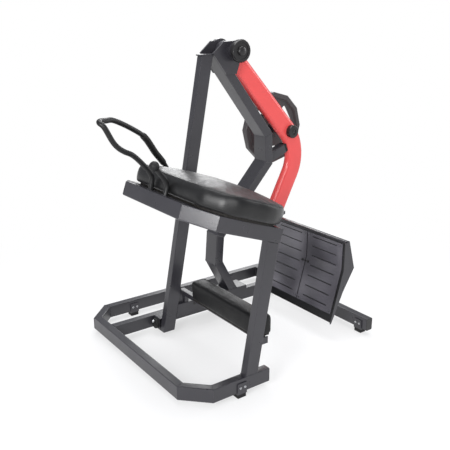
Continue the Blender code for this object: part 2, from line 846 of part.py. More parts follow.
def build_bumper(root):
    """A round rubber buffer on the main frame's rear face, pointing at the arm."""
    stations = mast_stations()
    top = stations[0][0] + stations[0][1] * MAST_DEPTH
    low = stations[1][0] + stations[1][1] * MAST_DEPTH
    direction = (low - top).normalized()
    outward = direction.cross(Y_AXIS)
    seat = top + direction * BUMPER_DROP + Y_AXIS * MAST_MIDDLE + outward * GAP
    upper, _ = arm_directions()
    across = upper.cross(Y_AXIS)
    nose = arm_origin() - across * ARM_WIDTH / 2
    corners = [seat + direction * BUMPER_RADIUS * side for side in (-1, 1)]
    reach = min((nose - corner).dot(across) / outward.dot(across) for corner in corners)
    length = reach - BUMPER_ARM_CLEARANCE
    profile = (
        (BUMPER_RADIUS, 0),
        (BUMPER_RADIUS, length * 0.2),
        (BUMPER_RADIUS * 0.86, length * 0.5),
        (BUMPER_RADIUS * 0.86, length * 0.86),
        (BUMPER_RADIUS * 0.6, length),
    )
    bm = bmesh.new()
    turned(bm, profile, seat, outward, 24)
    make_object("frame_bumper", bm, RUBBER, root, smooth=True)


# Top pivot

def build_cap_plate(root):
    """A flat plate on the post's and the main frame's tops, as wide as each of them."""
    front = post_front(POST_TOP) - CAP_PLATE_OVERHANG
    post_far = MAST_NEAR + POST_WIDTH
    outline = (
        (front, MAST_NEAR),
        (CAP_PLATE_REAR, MAST_NEAR),
        (CAP_PLATE_REAR, MAST_FAR),
        (post_rear(POST_TOP), MAST_FAR),
        ((post_front(POST_TOP) + post_rear(POST_TOP)) / 2, post_far),
        (front, post_far),
    )
    bm = bmesh.new()
    prism(bm, [Vector((x, y, POST_TOP + GAP)) for x, y in outline], Z_AXIS * CAP_PLATE_THICKNESS)
    make_object("post_cap_plate", bm, POWDER_COAT, root)


def cheek_outline():
    stations = mast_stations()
    front = stations[0][0]
    rear = front + stations[0][1] * MAST_DEPTH
    direction = (stations[1][0] - front).normalized()
    drop = (CHEEK_FOOT - POST_TOP) / direction.z
    front_foot = front + direction * drop
    rear_foot = rear + direction * drop
    outline = [(front.x, front.z), CHEEK_FRONT, CHEEK_SHOULDER]
    first, last, steps = 105, -25, 10
    for step in range(steps + 1):
        angle = math.radians(first + (last - first) * step / steps)
        outline.append((PIVOT_X + CHEEK_NOSE * math.cos(angle), PIVOT_Z + CHEEK_NOSE * math.sin(angle)))
    outline.append((rear_foot.x, rear_foot.z))
    outline.append((front_foot.x, front_foot.z))
    return outline


def bored_prism(name, outline, y, thickness, bore, parent):
    bm = bmesh.new()
    prism(bm, xz_outline(outline, y), Y_AXIS * thickness)
    plate = make_object(name, bm, POWDER_COAT, parent)
    guide = bmesh.new()
    centre = Vector((PIVOT_X, y, PIVOT_Z))
    turned(guide, ((bore, -thickness), (bore, 2 * thickness)), centre, Y_AXIS, ROUND_SEGMENTS)
    cut(plate, make_object(name + "_bore_guide", guide, POWDER_COAT, parent))


def build_pivot_side(root, prefix, face, outward, housing_radius, housing_length):
    """Cheek, bearing housing and bearing on one side of the main frame's side face."""
    cheek_inner = face + outward * GAP
    cheek_low = min(cheek_inner, cheek_inner + outward * CHEEK_THICKNESS)
    bored_prism(prefix + "_cheek_plate", cheek_outline(), cheek_low, CHEEK_THICKNESS, BEARING_SHOULDER, root)
    axis = Y_AXIS * outward
    seat = Vector((PIVOT_X, cheek_inner + outward * (CHEEK_THICKNESS + GAP), PIVOT_Z))
    pocket = BEARING_RADIUS + GAP
    floor = housing_length - BEARING_WIDTH - 2 * GAP
    edge = 0.002
    profile = (
        (BEARING_SHOULDER, 0),
        (housing_radius, 0),
        (housing_radius, housing_length - edge),
        (housing_radius - edge, housing_length),
        (pocket, housing_length),
        (pocket, floor),
        (BEARING_SHOULDER, floor),
    )
    bm = bmesh.new()
    turned(bm, profile, seat, axis, ROUND_SEGMENTS, closed=True)
    make_object(prefix + "_bearing_housing", bm, POWDER_COAT, root, smooth=True)
    bore = SHAFT_RADIUS + GAP
    profile = (
        (bore, 0),
        (BEARING_RADIUS, 0),
        (BEARING_RADIUS, BEARING_WIDTH),
        (bore, BEARING_WIDTH),
    )
    bm = bmesh.new()
    bearing_seat = seat + axis * (floor + GAP)
    turned(bm, profile, bearing_seat, axis, ROUND_SEGMENTS, closed=True)
    make_object(prefix + "_pivot_bearing", bm, BRIGHT_STEEL, root, smooth=True)
    return seat + axis * (housing_length + GAP), bearing_seat.y + axis.y * BEARING_WIDTH


def build_cover_disc(root, name, seat, axis, radius, thick):
    """A round plastic cover with a groove and a domed hub."""
    hub = DISC_HUB_RADIUS
    groove = 0.004
    profile = (
        (radius * 0.955, 0),
        (radius, thick * 0.12),
        (radius, thick * 0.8),
        (radius * 0.93, thick),
        ((radius + hub) / 2, thick),
        ((radius + hub) / 2 - 0.001, thick - groove),
        (hub, thick - groove),
        (hub * 0.97, thick + DISC_HUB_HEIGHT * 0.3),
        (hub * 0.83, thick + DISC_HUB_HEIGHT * 0.65),
        (hub * 0.5, thick + DISC_HUB_HEIGHT * 0.93),
        (0, thick + DISC_HUB_HEIGHT),
    )
    bm = bmesh.new()
    turned(bm, profile, seat, axis, ROUND_SEGMENTS)
    make_object(name, bm, PLASTIC, root, smooth=True)


def build_pivot(root, arm):
    """The shaft turns with the arm, its ends just inside the bearings' outer faces."""
    end_clearance = 0.001
    near_seat, near_end = build_pivot_side(root, "near", MAST_NEAR, -1, HOUSING_RADIUS, HOUSING_LENGTH)
    far_seat, far_end = build_pivot_side(root, "far", MAST_FAR, 1, DISC_RADIUS, FAR_HOUSING_LENGTH)
    build_cover_disc(root, "near_cover_disc", near_seat, -Y_AXIS, DISC_RADIUS, DISC_THICKNESS)
    build_cover_disc(root, "far_cover_disc", far_seat, Y_AXIS, FAR_COVER_RADIUS, FAR_COVER_THICKNESS)
    shaft_low = near_end + end_clearance
    shaft_high = far_end - end_clearance
    bm = bmesh.new()
    chamfer = 0.0015
    length = shaft_high - shaft_low
    profile = (
        (SHAFT_RADIUS - chamfer, 0),
        (SHAFT_RADIUS, chamfer),
        (SHAFT_RADIUS, length - chamfer),
        (SHAFT_RADIUS - chamfer, length),
    )
    turned(bm, profile, Vector((PIVOT_X, shaft_low, PIVOT_Z)), Y_AXIS, ROUND_SEGMENTS)
    make_object("pivot_shaft", bm, BRIGHT_STEEL, arm, PIVOT, smooth=True)


def build_hub(arm):
    """The arm's hub on the shaft, with the neck that carries the red tube."""
    width = MAST_WIDTH - 2 * HUB_SIDE_CLEARANCE
    low = PIVOT - Y_AXIS * width / 2
    chamfer = 0.003
    profile = (
        (HUB_RADIUS - chamfer, 0),
        (HUB_RADIUS, chamfer),
        (HUB_RADIUS, width - chamfer),
        (HUB_RADIUS - chamfer, width),
    )
    bm = bmesh.new()
    turned(bm, profile, low, Y_AXIS, ROUND_SEGMENTS)
    hub = make_object("arm_hub", bm, POWDER_COAT, arm, PIVOT, smooth=True)
    upper, _ = arm_directions()
    across = upper.cross(Y_AXIS)
    guide = bmesh.new()
    corners = ((-1, -1), (1, -1), (1, 1), (-1, 1))
    middle = arm_origin()
    outline = [middle + across * NECK_WIDTH / 2 * a + Y_AXIS * NECK_THICKNESS / 2 * b for a, b in corners]
    prism(guide, outline, upper * (ARM_START - GAP))
    cut(hub, make_object("neck_guide", guide, POWDER_COAT, arm, PIVOT), "UNION")
    guide = bmesh.new()
    bore = SHAFT_RADIUS + GAP
    turned(guide, ((bore, -width), (bore, 2 * width)), low, Y_AXIS, ROUND_SEGMENTS)
    cut(hub, make_object("hub_bore_guide", guide, POWDER_COAT, arm, PIVOT))


# Loading horn, side cap and weight plate

def build_horn(arm):
    bm = bmesh.new()
    foot = Vector((HORN_X, ARM_FAR + GAP, HORN_Z))
    collar = PLATE_NEAR - GAP - foot.y
    chamfer = 0.003
    profile = (
        (0, 0),
        (HORN_SLEEVE_RADIUS, 0),
        (HORN_SLEEVE_RADIUS, collar - HORN_COLLAR_THICKNESS),
        (HORN_COLLAR_RADIUS, collar - HORN_COLLAR_THICKNESS),
        (HORN_COLLAR_RADIUS, collar),
        (HORN_RADIUS, collar),
        (HORN_RADIUS, collar + HORN_FREE_LENGTH - chamfer),
        (HORN_RADIUS - chamfer, collar + HORN_FREE_LENGTH),
        (0, collar + HORN_FREE_LENGTH),
    )
    turned(bm, profile, foot, Y_AXIS, ROUND_SEGMENTS)
    make_object("loading_horn", bm, POWDER_COAT, arm, PIVOT, smooth=True)


def build_side_cap(arm):
    bm = bmesh.new()
    seat = Vector((HORN_X, ARM_NEAR - GAP, HORN_Z))
    radius = SIDE_CAP_RADIUS
    length = SIDE_CAP_LENGTH
    profile = (
        (0, 0),
        (radius, 0),
        (radius, length * 0.75),
        (radius * 0.94, length * 0.94),
        (radius * 0.85, length),
        (radius * 0.42, length),
        (radius * 0.40, length - 0.004),
    )
    bolt = screw_profile(radius * 0.3, length * 0.1)
    profile += tuple((across, length - 0.004 + rise) for across, rise in bolt[2:])
    turned(bm, profile, seat, -Y_AXIS, 24)
    make_object("arm_side_cap", bm, PLASTIC, arm, PIVOT, smooth=True)


def build_weight_plate(plate):
    """A twelve-sided plate with a raised rim, three grips and a round bore."""
    horn = Vector((HORN_X, PLATE_NEAR, HORN_Z))
    inner = PLATE_RADIUS - PLATE_RIM
    chamfer = 0.004
    recess = PLATE_RECESS
    hub = HORN_COLLAR_RADIUS
    thick = PLATE_THICKNESS
    profile = (
        (0, 0),
        (hub, 0),
        (hub + recess, recess),
        (inner - recess, recess),
        (inner, 0),
        (PLATE_RADIUS - chamfer, 0),
        (PLATE_RADIUS, chamfer),
        (PLATE_RADIUS, thick - chamfer),
        (PLATE_RADIUS - chamfer, thick),
        (inner, thick),
        (inner - recess, thick - recess),
        (hub + recess, thick - recess),
        (hub, thick),
        (0, thick),
    )
    bm = bmesh.new()
    turned(bm, profile, horn, Y_AXIS, PLATE_SIDES)
    made = make_object("weight_plate", bm, RUBBER, plate, horn)
    guide = bmesh.new()
    bore = HORN_RADIUS + PLATE_BORE_CLEARANCE
    turned(guide, ((bore, -thick), (bore, 2 * thick)), horn, Y_AXIS, ROUND_SEGMENTS)
    cut(made, make_object("plate_bore_guide", guide, RUBBER, plate, horn))
    guide = bmesh.new()
    for index in range(GRIP_COUNT):
        grip_guide(guide, horn, 2 * math.pi * index / GRIP_COUNT - math.pi / 2)
    cut(made, make_object("grip_guide", guide, RUBBER, plate, horn))


def grip_guide(bm, centre, angle):
    """A long hole with round ends, square to the plate's radius."""
    radial = Vector((math.cos(angle), 0, math.sin(angle)))
    along = radial.cross(Y_AXIS)
    radius = GRIP_WIDTH / 2
    reach = GRIP_LENGTH / 2 - radius
    outline = []
    steps = 6
    for side in (1, -1):
        for step in range(steps + 1):
            turn = math.pi * (step / steps - 0.5)
            point = along * side * (reach + radius * math.cos(turn)) + radial * side * radius * math.sin(turn)
            outline.append(centre + radial * GRIP_DISTANCE + point - Y_AXIS * PLATE_THICKNESS)
    prism(bm, outline, Y_AXIS * 3 * PLATE_THICKNESS)


# Bench

def bench_point(along, y, up=0.0):
    front = Vector((BENCH_FRONT[0], 0, BENCH_FRONT[1]))
    return front + BENCH_ALONG * along + Y_AXIS * y + BENCH_UP * up


BENCH_BOX = (0, BENCH_TUBE_WIDTH, -BENCH_TUBE_HEIGHT, 0)


def bench_stations():
    outline = (
        (BENCH_LENGTH, BENCH_NEAR),
        (BENCH_CHAMFER_ALONG, BENCH_NEAR),
        (0, BENCH_NEAR + BENCH_CHAMFER_ACROSS),
        (0, BENCH_FAR - BENCH_FAR_CHAMFER_ACROSS),
        (BENCH_FAR_CHAMFER_ALONG, BENCH_FAR),
        (BENCH_LENGTH, BENCH_FAR),
    )
    return mitred_loop([bench_point(along, y) for along, y in outline], BENCH_UP)


def build_bench_frame(root):
    """A closed loop of four mitred lengths; the side rails bend at the front corners."""
    stations = bench_stations()
    gaps = (GAP / 2, GAP / 2)
    tube_object("bench_near_rail", stations[:3], BENCH_BOX, root, gaps)
    tube_object("bench_front_rail", stations[2:4], BENCH_BOX, root, gaps)
    tube_object("bench_far_rail", stations[3:6], BENCH_BOX, root, gaps)
    tube_object("bench_rear_rail", stations[5:], BENCH_BOX, root, gaps)


def rounded_plan(corners, count):
    """Equally spaced points round a plan whose corners (along, y, radius) are rounded."""
    path = []
    total = len(corners)
    for i, (u, v, radius) in enumerate(corners):
        here = Vector((u, v))
        before = Vector(corners[i - 1][:2]) - here
        after = Vector(corners[(i + 1) % total][:2]) - here
        half = before.angle(after) / 2
        reach = radius / math.tan(half)
        bisector = (before.normalized() + after.normalized()).normalized()
        centre = here + bisector * radius / math.sin(half)
        start = here + before.normalized() * reach - centre
        end = here + after.normalized() * reach - centre
        turn = start.angle_signed(end)
        steps = 12
        for step in range(steps + 1):
            path.append(centre + Matrix.Rotation(-turn * step / steps, 2) @ start)
    return spaced(path, count)


def spaced(path, count):
    """Points at equal steps round a closed path."""
    closed = path + path[:1]
    lengths = [(b - a).length for a, b in zip(closed, closed[1:])]
    total = sum(lengths)
    points = []
    walked = 0.0
    index = 0
    for step in range(count):
        target = total * step / count
        while walked + lengths[index] < target:
            walked += lengths[index]
            index += 1
        share = (target - walked) / lengths[index]
        points.append(closed[index].lerp(closed[index + 1], share))
    return points


def drawn_in(plan, distance):
    """A closed plan moved inwards by a distance, square to its own edge."""
    count = len(plan)
    moved_points = []
    for i in range(count):
        tangent = (plan[(i + 1) % count] - plan[i - 1]).normalized()
        inward = Vector((-tangent.y, tangent.x))
        moved_points.append(plan[i] + inward * distance)
    return moved_points


def build_bench_pad(root):
    front = BENCH_PAD_FRONT
    rear = BENCH_PAD_REAR
    near = BENCH_PAD_NEAR
    far = BENCH_PAD_FAR
    corners = (
        (front, far, 0.085),
        (front, near + 0.150, 0.110),
        (front + 0.095, near, 0.130),
        (rear, near, 0.270),
        (rear, far, 0.160),
    )
    plan = rounded_plan(corners, BENCH_PAD_POINTS)
    floor = PAD_BOARD_THICKNESS + 2 * GAP
    thick = BENCH_PAD_THICKNESS
    levels = (
        (0.014, 0.0),
        (0.004, 0.005),
        (0.0, 0.022),
        (-BENCH_PAD_BULGE, 0.050),
        (0.0, 0.078),
        (0.004, 0.090),
        (0.009, 0.0955),
        (0.011, 0.0935),
        (0.013, 0.0955),
        (0.020, 0.099),
    )
    rings = []
    for distance, height in levels:
        ring = drawn_in(plan, distance)
        rings.append([bench_point(p.x, p.y, floor + height) for p in ring])
    top = drawn_in(plan, 0.020)
    middle = sum(top, Vector((0, 0))) / len(top)
    for share in (0.88, 0.70, 0.48, 0.24):
        height = thick + BENCH_PAD_CROWN * (1 - share * share)
        ring = [middle.lerp(p, share) for p in top]
        rings.append([bench_point(p.x, p.y, floor + height) for p in ring])
    bm = bmesh.new()
    loops = [add_ring(bm, ring) for ring in rings]
    for first, second in zip(loops, loops[1:]):
        bridge(bm, first, second)
    bm.faces.new(loops[0])
    peak = bm.verts.new(bench_point(middle.x, middle.y, floor + thick + BENCH_PAD_CROWN))
    join_rings(bm, loops[-1], [peak])
    make_object("bench_pad", bm, LEATHER, root, smooth=True)
    board = drawn_in(plan, PAD_BOARD_INSET)
    bm = bmesh.new()
    prism(bm, [bench_point(p.x, p.y, GAP) for p in board[::3]], BENCH_UP * PAD_BOARD_THICKNESS)
    make_object("bench_pad_board", bm, PLYWOOD, root)


# Handles

def smooth_path(points, steps):
    """Points on a smooth curve through the given points."""
    padded = [points[0] * 2 - points[1]] + points + [points[-1] * 2 - points[-2]]
    path = []
    for a, b, c, d in zip(padded, padded[1:], padded[2:], padded[3:]):
        for step in range(steps):
            t = step / steps
            bend = (a * 2 - b * 5 + c * 4 - d) * (t * t)
            twist = (b * 3 - a - c * 3 + d) * (t * t * t)
            path.append((b * 2 + (c - a) * t + bend + twist) / 2)
    path.append(points[-1])
    return path


def round_bar(path, radius, first, last=None):
    """Rings of a round bar along a path, square to the given directions at its ends."""
    tangents = [first]
    tangents += [(c - a).normalized() for a, c in zip(path, path[2:])]
    tangents.append(last or (path[-1] - path[-2]).normalized())
    side = Y_AXIS - tangents[0] * Y_AXIS.dot(tangents[0])
    side.normalize()
    rings = []
    for point, tangent in zip(path, tangents):
        side = (side - tangent * side.dot(tangent)).normalized()
        other = tangent.cross(side)
        ring = []
        for step in range(HANDLE_SIDES):
            angle = 2 * math.pi * step / HANDLE_SIDES
            ring.append(point + (side * math.cos(angle) + other * math.sin(angle)) * radius)
        rings.append(ring)
    return rings


def loop_path():
    foot = bench_point(BENCH_TUBE_WIDTH / 2, LOOP_FOOT_Y, GAP)
    far_foot = bench_point(LOOP_FAR_FOOT_ALONG, BENCH_FAR - HANDLE_RADIUS - GAP, GAP)
    middle = [
        (-0.611, -0.118, 1.096),
        (-0.609, -0.120, 1.126),
        (-0.623, -0.123, 1.157),
        (-0.650, -0.125, 1.190),
        (-0.691, -0.127, 1.233),
        (-0.726, -0.130, 1.262),
        (-0.765, -0.132, 1.281),
        (-0.802, -0.135, 1.307),
        (-0.832, -0.138, 1.343),
        (-0.871, -0.140, 1.413),
        (-0.886, -0.120, 1.434),
        (-0.866, -0.092, 1.437),
        (-0.826, -0.067, 1.433),
        (-0.776, -0.043, 1.428),
        (-0.699, -0.020, 1.394),
        (-0.619, 0.003, 1.350),
        (-0.563, 0.027, 1.313),
        (-0.515, 0.053, 1.261),
        (-0.468, 0.085, 1.209),
        (-0.416, 0.115, 1.159),
        (-0.372, 0.146, 1.115),
        (-0.347, 0.1655, 1.075),
    ]
    return smooth_path([foot] + [Vector(p) for p in middle] + [far_foot], HANDLE_STEPS)


def short_path():
    foot = bench_point(BENCH_TUBE_WIDTH / 2, SHORT_FOOT_Y, GAP)
    middle = [
        (-0.606, -0.262, 1.090),
        (-0.604, -0.262, 1.115),
        (-0.618, -0.262, 1.147),
        (-0.644, -0.262, 1.181),
        (-0.659, -0.262, 1.201),
    ]
    return smooth_path([foot] + [Vector(p) for p in middle], HANDLE_STEPS + 1)


def build_handles(root):
    bm = bmesh.new()
    solid(bm, round_bar(loop_path(), HANDLE_RADIUS, BENCH_UP, -BENCH_UP))
    make_object("loop_handle", bm, PLASTIC, root, smooth=True)
    bm = bmesh.new()
    path = short_path()
    solid(bm, round_bar(path, HANDLE_RADIUS, BENCH_UP))
    make_object("short_handle", bm, PLASTIC, root, smooth=True)
    tip = path[-1]
    direction = (path[-1] - path[-2]).normalized()
    radius = SHORT_CAP_RADIUS
    profile = [(0, GAP)]
    steps = 8
    first = math.asin(HANDLE_RADIUS / radius)
    depth = radius * math.cos(first)
    for step in range(steps):
        angle = math.pi - first - (math.pi - first) * step / steps
        profile.append((radius * math.sin(angle), GAP + depth + radius * math.cos(angle)))
    profile.append((0, GAP + depth + radius))
    bm = bmesh.new()
    turned(bm, profile, tip, direction, 24)
    make_object("short_handle_cap", bm, RUBBER, root, smooth=True)


# Knee pad

def knee_section(distance):
    """Outline of the knee pad seen from the side, drawn in by a distance."""
    left = KNEE_FRONT + distance
    right = KNEE_REAR - distance
    low = KNEE_BOTTOM + distance * 0.3
    high = KNEE_TOP - distance
    corners = (
        (right, high, 0.038),
        (left, high - 0.006, 0.014),
        (left + 0.004, low, 0.010),
        (right, low, 0.016),
    )
    outline = []
    steps = 6
    total = len(corners)
    for i, (x, z, radius) in enumerate(corners):
        here = Vector((x, z))
        before = (Vector(corners[i - 1][:2]) - here).normalized()
        after = (Vector(corners[(i + 1) % total][:2]) - here).normalized()
        half = before.angle(after) / 2
        reach = radius / math.tan(half)
        start = here + before * reach
        end = here + after * reach
        for step in range(steps + 1):
            t = step / steps
            outline.append(start.lerp(here, t).lerp(here.lerp(end, t), t))
    return outline


def build_knee_pad(root):
    near = BASE_NEAR + BASE_TUBE_WIDTH + 0.002
    levels = (
        (0.0, 0.012),
        (0.003, 0.005),
        (0.010, 0.001),
        (0.030, 0.0),
    )
    stations = [(near + offset, distance) for offset, distance in levels]
    stations += [(KNEE_FAR - offset, distance) for offset, distance in reversed(levels)]
    rings = []
    for y, distance in stations:
        rings.append([Vector((p.x, y, p.y)) for p in knee_section(distance)])
    bm = bmesh.new()
    solid(bm, rings)
    make_object("knee_pad", bm, LEATHER, root, smooth=True)
    bm = bmesh.new()
    board_top = KNEE_BOTTOM - GAP
    low = (KNEE_FRONT + 0.010, near + 0.010, board_top - KNEE_BOARD_THICKNESS)
    high = (KNEE_REAR - 0.010, KNEE_FAR - 0.010, board_top)
    block(bm, low, high)
    make_object("knee_pad_board", bm, PLYWOOD, root)
    build_knee_support(root, board_top - KNEE_BOARD_THICKNESS - GAP)


def build_knee_support(root, top):
    """The tube under the knee pad, its plate on the near leg and its stand on the beam."""
    leg_face = BASE_NEAR + BASE_TUBE_WIDTH + GAP
    low = top - KNEE_TUBE_HEIGHT
    near = leg_face + KNEE_PLATE_THICKNESS - WELD
    far = MAST_NEAR + KNEE_TUBE_OVERHANG
    half = KNEE_TUBE_WIDTH / 2
    stations = straight_stations((KNEE_TUBE_X, far, 0), (KNEE_TUBE_X, near, 0), Z_AXIS)
    support = tube_object("knee_pad_support", stations, (-half, half, low, top), root)
    leg_front = leaning_edge(LEG_FOOT_X, BASE_TOP + GAP, LEG_LEAN, low)
    joined = bmesh.new()
    plate_low = (leg_front + 0.020, leg_face, low - 0.010)
    plate_high = (KNEE_TUBE_X + half + 0.008, leg_face + KNEE_PLATE_THICKNESS, top - WELD)
    block(joined, plate_low, plate_high)
    stand_low = (KNEE_TUBE_X - half + TUBE_CORNER, MAST_NEAR + 0.006, BEAM_TOP + GAP)
    stand_high = (KNEE_TUBE_X + half - TUBE_CORNER, far - 0.006, low + WELD)
    block(joined, stand_low, stand_high)
    weld_on(support, joined, POWDER_COAT, root)


# Kick platform

def platform_station(z):
    """Point and rearward direction on the front line of the panels at a height."""
    vertical = Vector((1, 0, 0))
    slanted = Vector((math.cos(PLATFORM_LEAN), 0, -math.sin(PLATFORM_LEAN)))
    if z > PLATFORM_CREASE:
        return Vector((PLATFORM_FRONT, 0, z)), vertical
    x = PLATFORM_FRONT - (PLATFORM_CREASE - z) * math.tan(PLATFORM_LEAN)
    if z < PLATFORM_CREASE:
        return Vector((x, 0, z)), slanted
    return Vector((x, 0, z)), (vertical + slanted) / (1 + vertical.dot(slanted))


def perforated_sheet(bm, heights, columns, holes, front, back):
    """A bent sheet with square holes: heights run down, holes are (row, column) cells."""
    rows = [platform_station(z) for z in heights]
    grid = {}
    for r, (point, rearward) in enumerate(rows):
        for c, y in enumerate(columns):
            for face, offset in (("front", front), ("back", back)):
                place_at = point + rearward * offset + Y_AXIS * y
                grid[r, c, face] = place_at
    verts = {}

    def vert(key):
        if key not in verts:
            verts[key] = bm.verts.new(grid[key])
        return verts[key]

    def is_sheet(r, c):
        inside = 0 <= r < len(heights) - 1 and 0 <= c < len(columns) - 1
        return inside and (r, c) not in holes

    def wall(a, b):
        bm.faces.new([vert((*a, "front")), vert((*b, "front")), vert((*b, "back")), vert((*a, "back"))])

    for r in range(len(heights) - 1):
        for c in range(len(columns) - 1):
            if not is_sheet(r, c):
                continue
            for face in ("front", "back"):
                corners = ((r, c), (r, c + 1), (r + 1, c + 1), (r + 1, c))
                bm.faces.new([vert((*corner, face)) for corner in corners])
            if not is_sheet(r - 1, c):
                wall((r, c), (r, c + 1))
            if not is_sheet(r + 1, c):
                wall((r + 1, c), (r + 1, c + 1))
            if not is_sheet(r, c - 1):
                wall((r, c), (r + 1, c))
            if not is_sheet(r, c + 1):
                wall((r, c + 1), (r + 1, c + 1))


def slot_heights():
    pitch = (SLOT_FIRST - SLOT_LAST) / (SLOT_COUNT - 1)
    return [SLOT_FIRST - pitch * i for i in range(SLOT_COUNT)]


def build_panel(name, near, far, arm):
    heights = [PLATFORM_TOP, PLATFORM_CREASE, PANEL_BOTTOM]
    for slot in slot_heights():
        heights += [slot + SLOT_HEIGHT / 2, slot - SLOT_HEIGHT / 2]
    heights.sort(reverse=True)
    columns = [near, near + SLOT_MARGIN, far - SLOT_MARGIN, far]
    holes = set()
    for slot in slot_heights():
        for row, (top, bottom) in enumerate(zip(heights, heights[1:])):
            if bottom < slot < top:
                holes.add((row, 1))
    bm = bmesh.new()
    perforated_sheet(bm, heights, columns, holes, 0, PANEL_THICKNESS)
    panel = make_object(name, bm, GREY_PANEL, arm, PIVOT)
    screws = bmesh.new()
    for y in (near + PANEL_SCREW_INSET, far - PANEL_SCREW_INSET):
        for z in (PLATFORM_TOP - PANEL_SCREW_INSET, PANEL_BOTTOM + PANEL_SCREW_INSET):
            point, rearward = platform_station(z)
            turned(screws, screw_profile(PANEL_SCREW_RADIUS, 0.003), point + Y_AXIS * y, -rearward, 12)
    weld_on(panel, screws, BRIGHT_STEEL, arm, PIVOT)


def panel_spans():
    near = PLATFORM_NEAR + SIDE_PLATE_THICKNESS + PANEL_RIM
    far = PLATFORM_FAR - SIDE_PLATE_THICKNESS - PANEL_RIM
    seam = (near + far) / 2
    return (near, seam - PANEL_SEAM / 2), (seam + PANEL_SEAM / 2, far)


def side_outline(top):
    """A side plate seen from the side, deepest at the crease, up to a given height."""
    rear_top = 0.580 - (top - 0.461) * 0.2885
    return (
        (PLATFORM_FRONT, min(top, 0.634)),
        (rear_top, top),
        (0.580, 0.461),
        (0.494, 0.321),
        (0.426, 0.172),
        (0.405, 0.128),
        (0.396, 0.132),
        (PLATFORM_FRONT, PLATFORM_CREASE),
    )


def build_platform(arm):
    near_span, far_span = panel_spans()
    build_panel("near_panel", *near_span, arm)
    build_panel("far_panel", *far_span, arm)
    front = PANEL_THICKNESS + GAP
    back = front + TRAY_THICKNESS
    tray_near = PLATFORM_NEAR + SIDE_PLATE_THICKNESS / 2
    tray_far = PLATFORM_FAR - SIDE_PLATE_THICKNESS / 2
    bm = bmesh.new()
    heights = (TRAY_TOP, PLATFORM_CREASE, TRAY_BOTTOM)
    perforated_sheet(bm, heights, (tray_near, tray_far), set(), front, back)
    tray = make_object("platform_tray", bm, POWDER_COAT, arm, PIVOT)
    sides = bmesh.new()
    bar_bottom = TOP_BAR_TOP - TOP_BAR_HEIGHT
    near_outline = side_outline(TOP_BAR_TOP)
    far_outline = side_outline(bar_bottom - GAP)
    thick = Y_AXIS * SIDE_PLATE_THICKNESS
    prism(sides, xz_outline(near_outline, PLATFORM_NEAR), thick)
    prism(sides, xz_outline(far_outline, PLATFORM_FAR - SIDE_PLATE_THICKNESS), thick)
    weld_on(tray, sides, POWDER_COAT, arm, PIVOT)
    build_top_bar(arm, PLATFORM_FRONT + back + GAP)


def build_top_bar(arm, bar_front):
    """The bar behind the panels' top edge, with the bracket that seats the arm's end."""
    bar_box = (0, TOP_BAR_DEPTH, TOP_BAR_TOP - TOP_BAR_HEIGHT, TOP_BAR_TOP)
    near_end = (bar_front, PLATFORM_NEAR + SIDE_PLATE_THICKNESS + GAP, 0)
    far_end = (bar_front, ARM_FAR, 0)
    bm = bmesh.new()
    box_tube(bm, straight_stations(near_end, far_end, Z_AXIS), bar_box, True)
    bar = make_object("platform_top_bar", bm, POWDER_COAT, arm, PIVOT)
    plate_low = TOP_BAR_TOP - WELD
    plate_high = TOP_BAR_TOP + GAP + ARM_FOOT_PLATE
    rear = arm_stations()[-1][0].x + ARM_WIDTH / 2 + 0.012
    bar_rear = bar_front + TOP_BAR_DEPTH - WELD
    bottom = TOP_BAR_TOP - TOP_BAR_HEIGHT + TUBE_CORNER
    outline = (
        (bar_front + WELD, plate_low),
        (bar_front + WELD, plate_high),
        (rear, plate_high),
        (rear, plate_low - 0.012),
        (bar_rear + 0.030, bottom),
        (bar_rear, bottom),
        (bar_rear, plate_low),
    )
    bracket = bmesh.new()
    prism(bracket, xz_outline(outline, ARM_NEAR + WELD), Y_AXIS * (ARM_THICKNESS - 2 * WELD))
    weld_on(bar, bracket, POWDER_COAT, arm, PIVOT)


# The whole machine

def machine_middle():
    """Middle of the whole outline seen from above."""
    front = min(point.x for point in loop_path()) - HANDLE_RADIUS
    rear = HORN_X + PLATE_RADIUS
    near = BENCH_PAD_NEAR - BENCH_PAD_BULGE
    return Vector(((front + rear) / 2, (near + BASE_FAR) / 2, 0))


def main():
    clear_scene()
    root = empty("machine", -machine_middle())
    arm = empty("arm_pivot", PIVOT, root)
    plate = empty("plate_centre", Vector((HORN_X, PLATE_NEAR, HORN_Z)) - PIVOT, arm)
    build_base(root)
    build_feet(root)
    build_post(root)
    build_near_leg(root)
    build_spacer(root)
    build_beam(root)
    build_main_frame(root)
    build_stops(root)
    build_bumper(root)
    build_cap_plate(root)
    build_pivot(root, arm)
    build_bench_frame(root)
    build_bench_pad(root)
    build_handles(root)
    build_knee_pad(root)
    build_hub(arm)
    build_arm_tube(arm)
    build_side_cap(arm)
    build_horn(arm)
    build_platform(arm)
    build_weight_plate(plate)


main()
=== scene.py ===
import json
import math

import bmesh
import bpy
from mathutils import Matrix, Vector, noise

